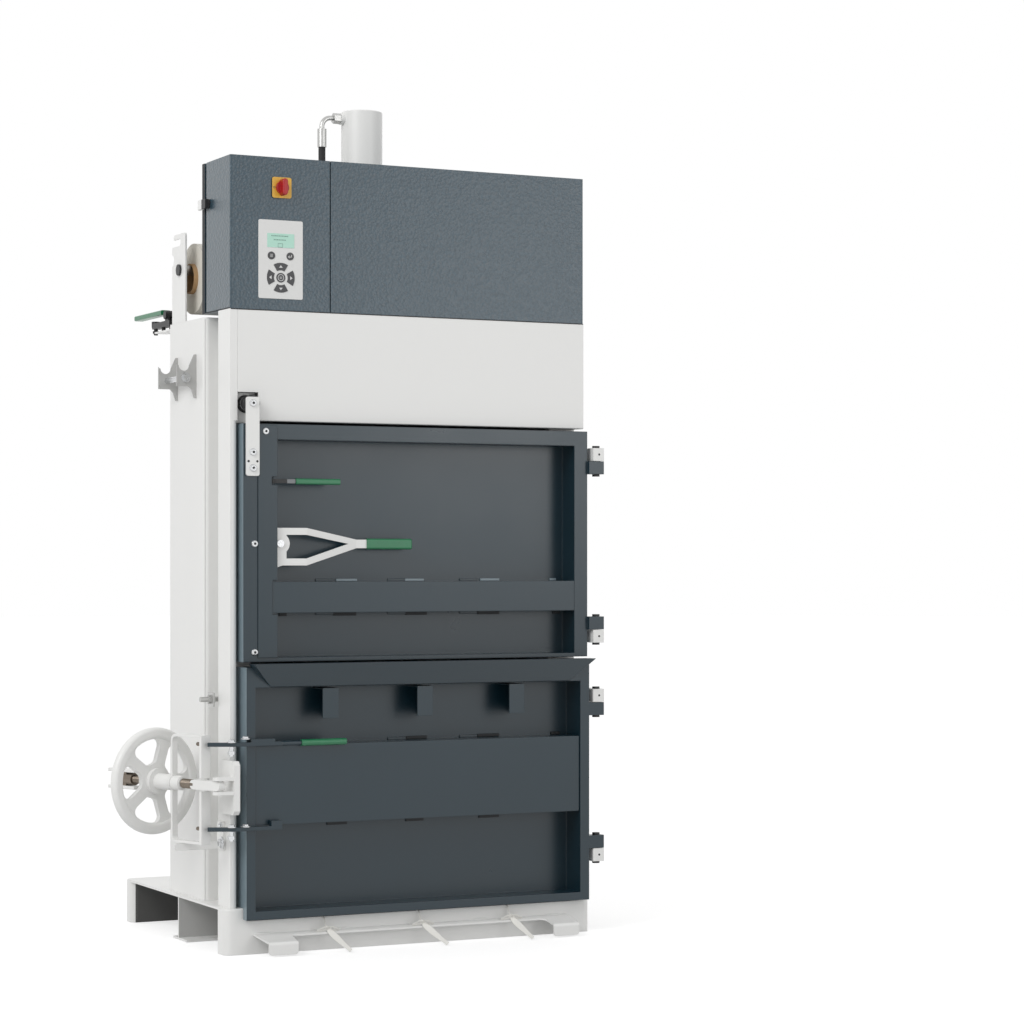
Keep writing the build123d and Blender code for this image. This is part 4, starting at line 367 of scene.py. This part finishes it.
studs("arm_pins", "yoke", [clamp_pivot + clamp_axis * yoke_bar_back + Vector((0, 0, rise)) for rise in (91.5, -99.5)],
      clamp_axis, [(0, 6), (4, 6), (4, 4.6), (20, 4.6), (22, 3.8)], dark_steel)


# Key symbols and display lines, thin prints on the control cover

print_lift = 0.12


def prints(name, body, shapes, made, face):
    """Flat marks on a front face: each shape is a list of (x, z) corners, in millimetres."""
    shape = bmesh.new()
    for corners in shapes:
        front = [shape.verts.new(Vector((x, face - print_lift, z)) * MM) for x, z in corners]
        back = [shape.verts.new(Vector((x, face + print_lift, z)) * MM) for x, z in corners]
        shape.faces.new(front)
        shape.faces.new(list(reversed(back)))
        for step in range(len(corners)):
            after = (step + 1) % len(corners)
            shape.faces.new((front[step], back[step], back[after], front[after]))
    place_piece(name, shape, made, body)


def bar(x, z, width, height):
    """Corners of an upright rectangle."""
    return [(x - width / 2, z - height / 2), (x + width / 2, z - height / 2),
            (x + width / 2, z + height / 2), (x - width / 2, z + height / 2)]


def arrow(x, z, turn, size):
    """Corners of a triangle that points up, turned by so many quarters."""
    made = []
    for side, rise in ((-1, -0.6), (1, -0.6), (0, 0.7)):
        angle = turn * math.pi / 2
        made.append((x + size * (side * math.cos(angle) - rise * math.sin(angle)),
                     z + size * (side * math.sin(angle) + rise * math.cos(angle))))
    return made


def ring(x, z, inner, outer, sides=28):
    """Quadrilaterals of a flat ring."""
    made = []
    for step in range(sides):
        first = 2 * math.pi * step / sides
        last = 2 * math.pi * (step + 1) / sides
        made.append([(x + outer * math.cos(first), z + outer * math.sin(first)),
                     (x + outer * math.cos(last), z + outer * math.sin(last)),
                     (x + inner * math.cos(last), z + inner * math.sin(last)),
                     (x + inner * math.cos(first), z + inner * math.sin(first))])
    return made


pad_x, pad_z, key_face = -331.75, 1540.3, -2.8
marks = [arrow(pad_x - 25.5 * math.sin(q * math.pi / 2), pad_z + 25.5 * math.cos(q * math.pi / 2), q, 4.4)
         for q in range(4)]
marks += ring(pad_x, pad_z, 6.4, 7.6) + [bar(pad_x, pad_z + 1.4, 6, 1.1), bar(pad_x, pad_z - 1.4, 6, 1.1)]
marks += [bar(pad_x - 23, 1590 + rise, 6.4, 1.0) for rise in (-2.7, 0, 2.7)]
marks += [bar(pad_x + 23.5, 1588.6, 7, 1.5), bar(pad_x + 26.3, 1591.2, 1.5, 5.2), arrow(pad_x + 19.5, 1588.6, 1, 3.4)]
prints("key_symbols", "control_cover", marks, key_mark, key_face)
lines = []
for height, left, right in ((1635.5, -355, -312), (1626.5, -349, -318)):
    spot = left
    widths = (3.2, 2.0, 4.1, 2.6, 1.6, 3.6, 2.2)
    for step in range(20):
        width = widths[step % 7]
        if spot + width > right:
            break
        lines.append(bar(spot + width / 2, height, width, 2.2))
        spot += width + 1.0
lines += [bar(-333, 1609.8, 12, 0.9), bar(-333, 1618.2, 12, 0.9), bar(-338.6, 1614, 0.9, 8), bar(-327.4, 1614, 0.9, 8)]
prints("display_lines", "control_cover", lines, display_ink, key_face)
prints("switch_marks", "control_cover",
       [bar(-329.5, 1764.5, 1.2, 5)] + ring(-348, 1746, 1.6, 2.6, 16), key_grey, -3.0)


# Strap ends: flat woven straps tied at the shelf

def smooth(points):
    """Points of the smooth line that a route of control points gives, in metres."""
    line = bpy.data.curves.new("route", "CURVE")
    line.dimensions = "3D"
    line.resolution_u = 10
    spline = line.splines.new("NURBS")
    spline.points.add(len(points) - 1)
    for spot, point in zip(spline.points, points):
        spot.co = (*(Vector(point) * MM), 1)
    spline.order_u = 3
    spline.use_endpoint_u = True
    holder = bpy.data.objects.new("route", line)
    made = bpy.data.meshes.new_from_object(holder)
    found = [vertex.co.copy() for vertex in made.vertices]
    bpy.data.meshes.remove(made)
    bpy.data.objects.remove(holder)
    bpy.data.curves.remove(line)
    return found


def ribbon(shape, path, widths, thicks, side):
    """Sweep a flat strap with soft edges along points; its flat face turns to side where it can."""
    rings = []
    for step, point in enumerate(path):
        run = (path[min(step + 1, len(path) - 1)] - path[max(step - 1, 0)]).normalized()
        across = run.cross(side)
        across = across.normalized() if across.length > 0.05 else Vector((1, 0, 0))
        up = across.cross(run).normalized()
        share = step / (len(path) - 1)
        width = widths(share) * MM / 2
        thick = thicks(share) * MM / 2
        outline = ((-1, 0), (-0.86, 0.8), (0, 1), (0.86, 0.8), (1, 0), (0.86, -0.8), (0, -1), (-0.86, -0.8))
        rings.append([shape.verts.new(point + across * a * width + up * b * thick) for a, b in outline])
    for low, high in zip(rings, rings[1:]):
        for step in range(8):
            after = (step + 1) % 8
            shape.faces.new((low[step], low[after], high[after], high[step]))
    shape.faces.new(list(reversed(rings[0])))
    shape.faces.new(rings[-1])


def eased(share, start, end):
    """Zero before start, one after end, smooth between."""
    part = min(1.0, max(0.0, (share - start) / (end - start)))
    return part * part * (3 - 2 * part)


strap_places = (-229.0, 11.0, 243.0)
strap_route = ((0, 10, 78), (0, -11, 78), (1, -15, 62), (3, -24, 49), (12, -42, 37), (26, -65, 19), (38, -86, 5))
strap_reach_shares = (0.95, 1.06, 0.80)
for number, (place, reach) in enumerate(zip(strap_places, strap_reach_shares), 1):
    path = smooth([(place + x * reach, y, z) for x, y, z in strap_route])
    shape = bmesh.new()
    ribbon(shape, path, lambda share: 3.0 + 11.0 * eased(share, 0.42, 0.66) - 5.0 * eased(share, 0.75, 1.0),
           lambda share: 2.0 - 1.2 * eased(share, 0.42, 0.62), Vector((-0.45, -0.89, 0.3)))
    strap = place_piece(f"strap_ribbon_{number}", shape, strap_weave, "frame")
    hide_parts(f"strap_end_{number}")
    knot_x = place + 4 * reach
    shape = bmesh.new()
    for loop in (-1, 1):
        turn = smooth([(knot_x, -27, 50), (knot_x + 8 * loop, -30, 56), (knot_x + 17 * loop, -29, 51),
                       (knot_x + 30 * loop, -27, 46), (knot_x + 18 * loop, -25, 45.5), (knot_x + 6 * loop, -26, 48),
                       (knot_x - 2 * loop, -27, 50)])
        ribbon(shape, turn, lambda share: 4.5, lambda share: 1.0, Vector((0, 1, 0.3)))
    wrap = smooth([(knot_x - 4, -22, 46), (knot_x - 5, -26, 54), (knot_x + 1, -31, 55), (knot_x + 6, -32, 48),
                   (knot_x + 3, -27, 44.5)])
    ribbon(shape, wrap, lambda share: 6.0, lambda share: 1.2, Vector((1, 0, 0.2)))
    knot = place_piece(f"strap_knot_{number}", shape, strap_weave, "frame")


# Camera, level and at the photo's angle

camera_data = bpy.data.cameras.new("camera")
camera_data.lens = 96.5
camera_data.sensor_width = 36.0
camera_data.shift_y = 0.0501
camera_data.clip_end = 200.0
camera = bpy.data.objects.new("camera", camera_data)
camera.location = (-2.686, -5.837, 0.888)
camera.rotation_euler = (math.radians(90), 0, -math.atan2(0.4507, 0.8927))
bpy.context.scene.collection.objects.link(camera)
bpy.context.scene.camera = camera


# Floor and soft studio light

def seen_rays(tree):
    """A node output that is one for camera, glossy and transmission rays, and zero for light."""
    rays = tree.nodes.new("ShaderNodeLightPath")
    found = rays.outputs["Is Camera Ray"]
    for kind in ("Is Glossy Ray", "Is Transmission Ray"):
        either = tree.nodes.new("ShaderNodeMath")
        either.operation = "MAXIMUM"
        tree.links.new(found, either.inputs[0])
        tree.links.new(rays.outputs[kind], either.inputs[1])
        found = either.outputs[0]
    return found


bpy.ops.mesh.primitive_circle_add(vertices=96, radius=40, fill_type="NGON", location=(0, 0, -0.0005))
floor = bpy.context.object
floor.name = "floor"
floor_white = material("floor_white", (0.62, 0.62, 0.62), 0.85, mottle=0.004, grain=0.0)
floor.data.materials.append(floor_white)
ground = floor_white.node_tree
ground.nodes["Principled BSDF"].inputs["Emission Color"].default_value = (1, 1, 1, 1)
glow = ground.nodes.new("ShaderNodeMath")
glow.operation = "MULTIPLY"
glow.inputs[1].default_value = 0.57
ground.links.new(seen_rays(ground), glow.inputs[0])
ground.links.new(glow.outputs[0], ground.nodes["Principled BSDF"].inputs["Emission Strength"])
world = bpy.data.worlds.new("studio")
world.use_nodes = True
sky = world.node_tree
light = sky.nodes["Background"]
light.inputs["Color"].default_value = (1, 1, 1, 1)
light.inputs["Strength"].default_value = 0.64
backdrop = sky.nodes.new("ShaderNodeBackground")
backdrop.inputs["Color"].default_value = (1, 1, 1, 1)
backdrop.inputs["Strength"].default_value = 1.0
choice = sky.nodes.new("ShaderNodeMixShader")
sky.links.new(seen_rays(sky), choice.inputs[0])
sky.links.new(light.outputs[0], choice.inputs[1])
sky.links.new(backdrop.outputs[0], choice.inputs[2])
sky.links.new(choice.outputs[0], sky.nodes["World Output"].inputs["Surface"])
bpy.context.scene.world = world


def softbox(name, place, aim, size, power):
    """A large square area light pointed at a place."""
    data = bpy.data.lights.new(name, "AREA")
    data.size = size
    data.energy = power
    lamp = bpy.data.objects.new(name, data)
    lamp.location = place
    lamp.rotation_euler = (Vector(aim) - Vector(place)).to_track_quat("-Z", "Y").to_euler()
    bpy.context.scene.collection.objects.link(lamp)


softbox("key", (-4.9, -2.2, 4.4), (0, 0.2, 0.9), 3.0, 150)
softbox("front", (2.75, -4.8, 1.95), (0, 0, 1.2), 2.0, 30)

bpy.context.scene.view_settings.view_transform = "Standard"
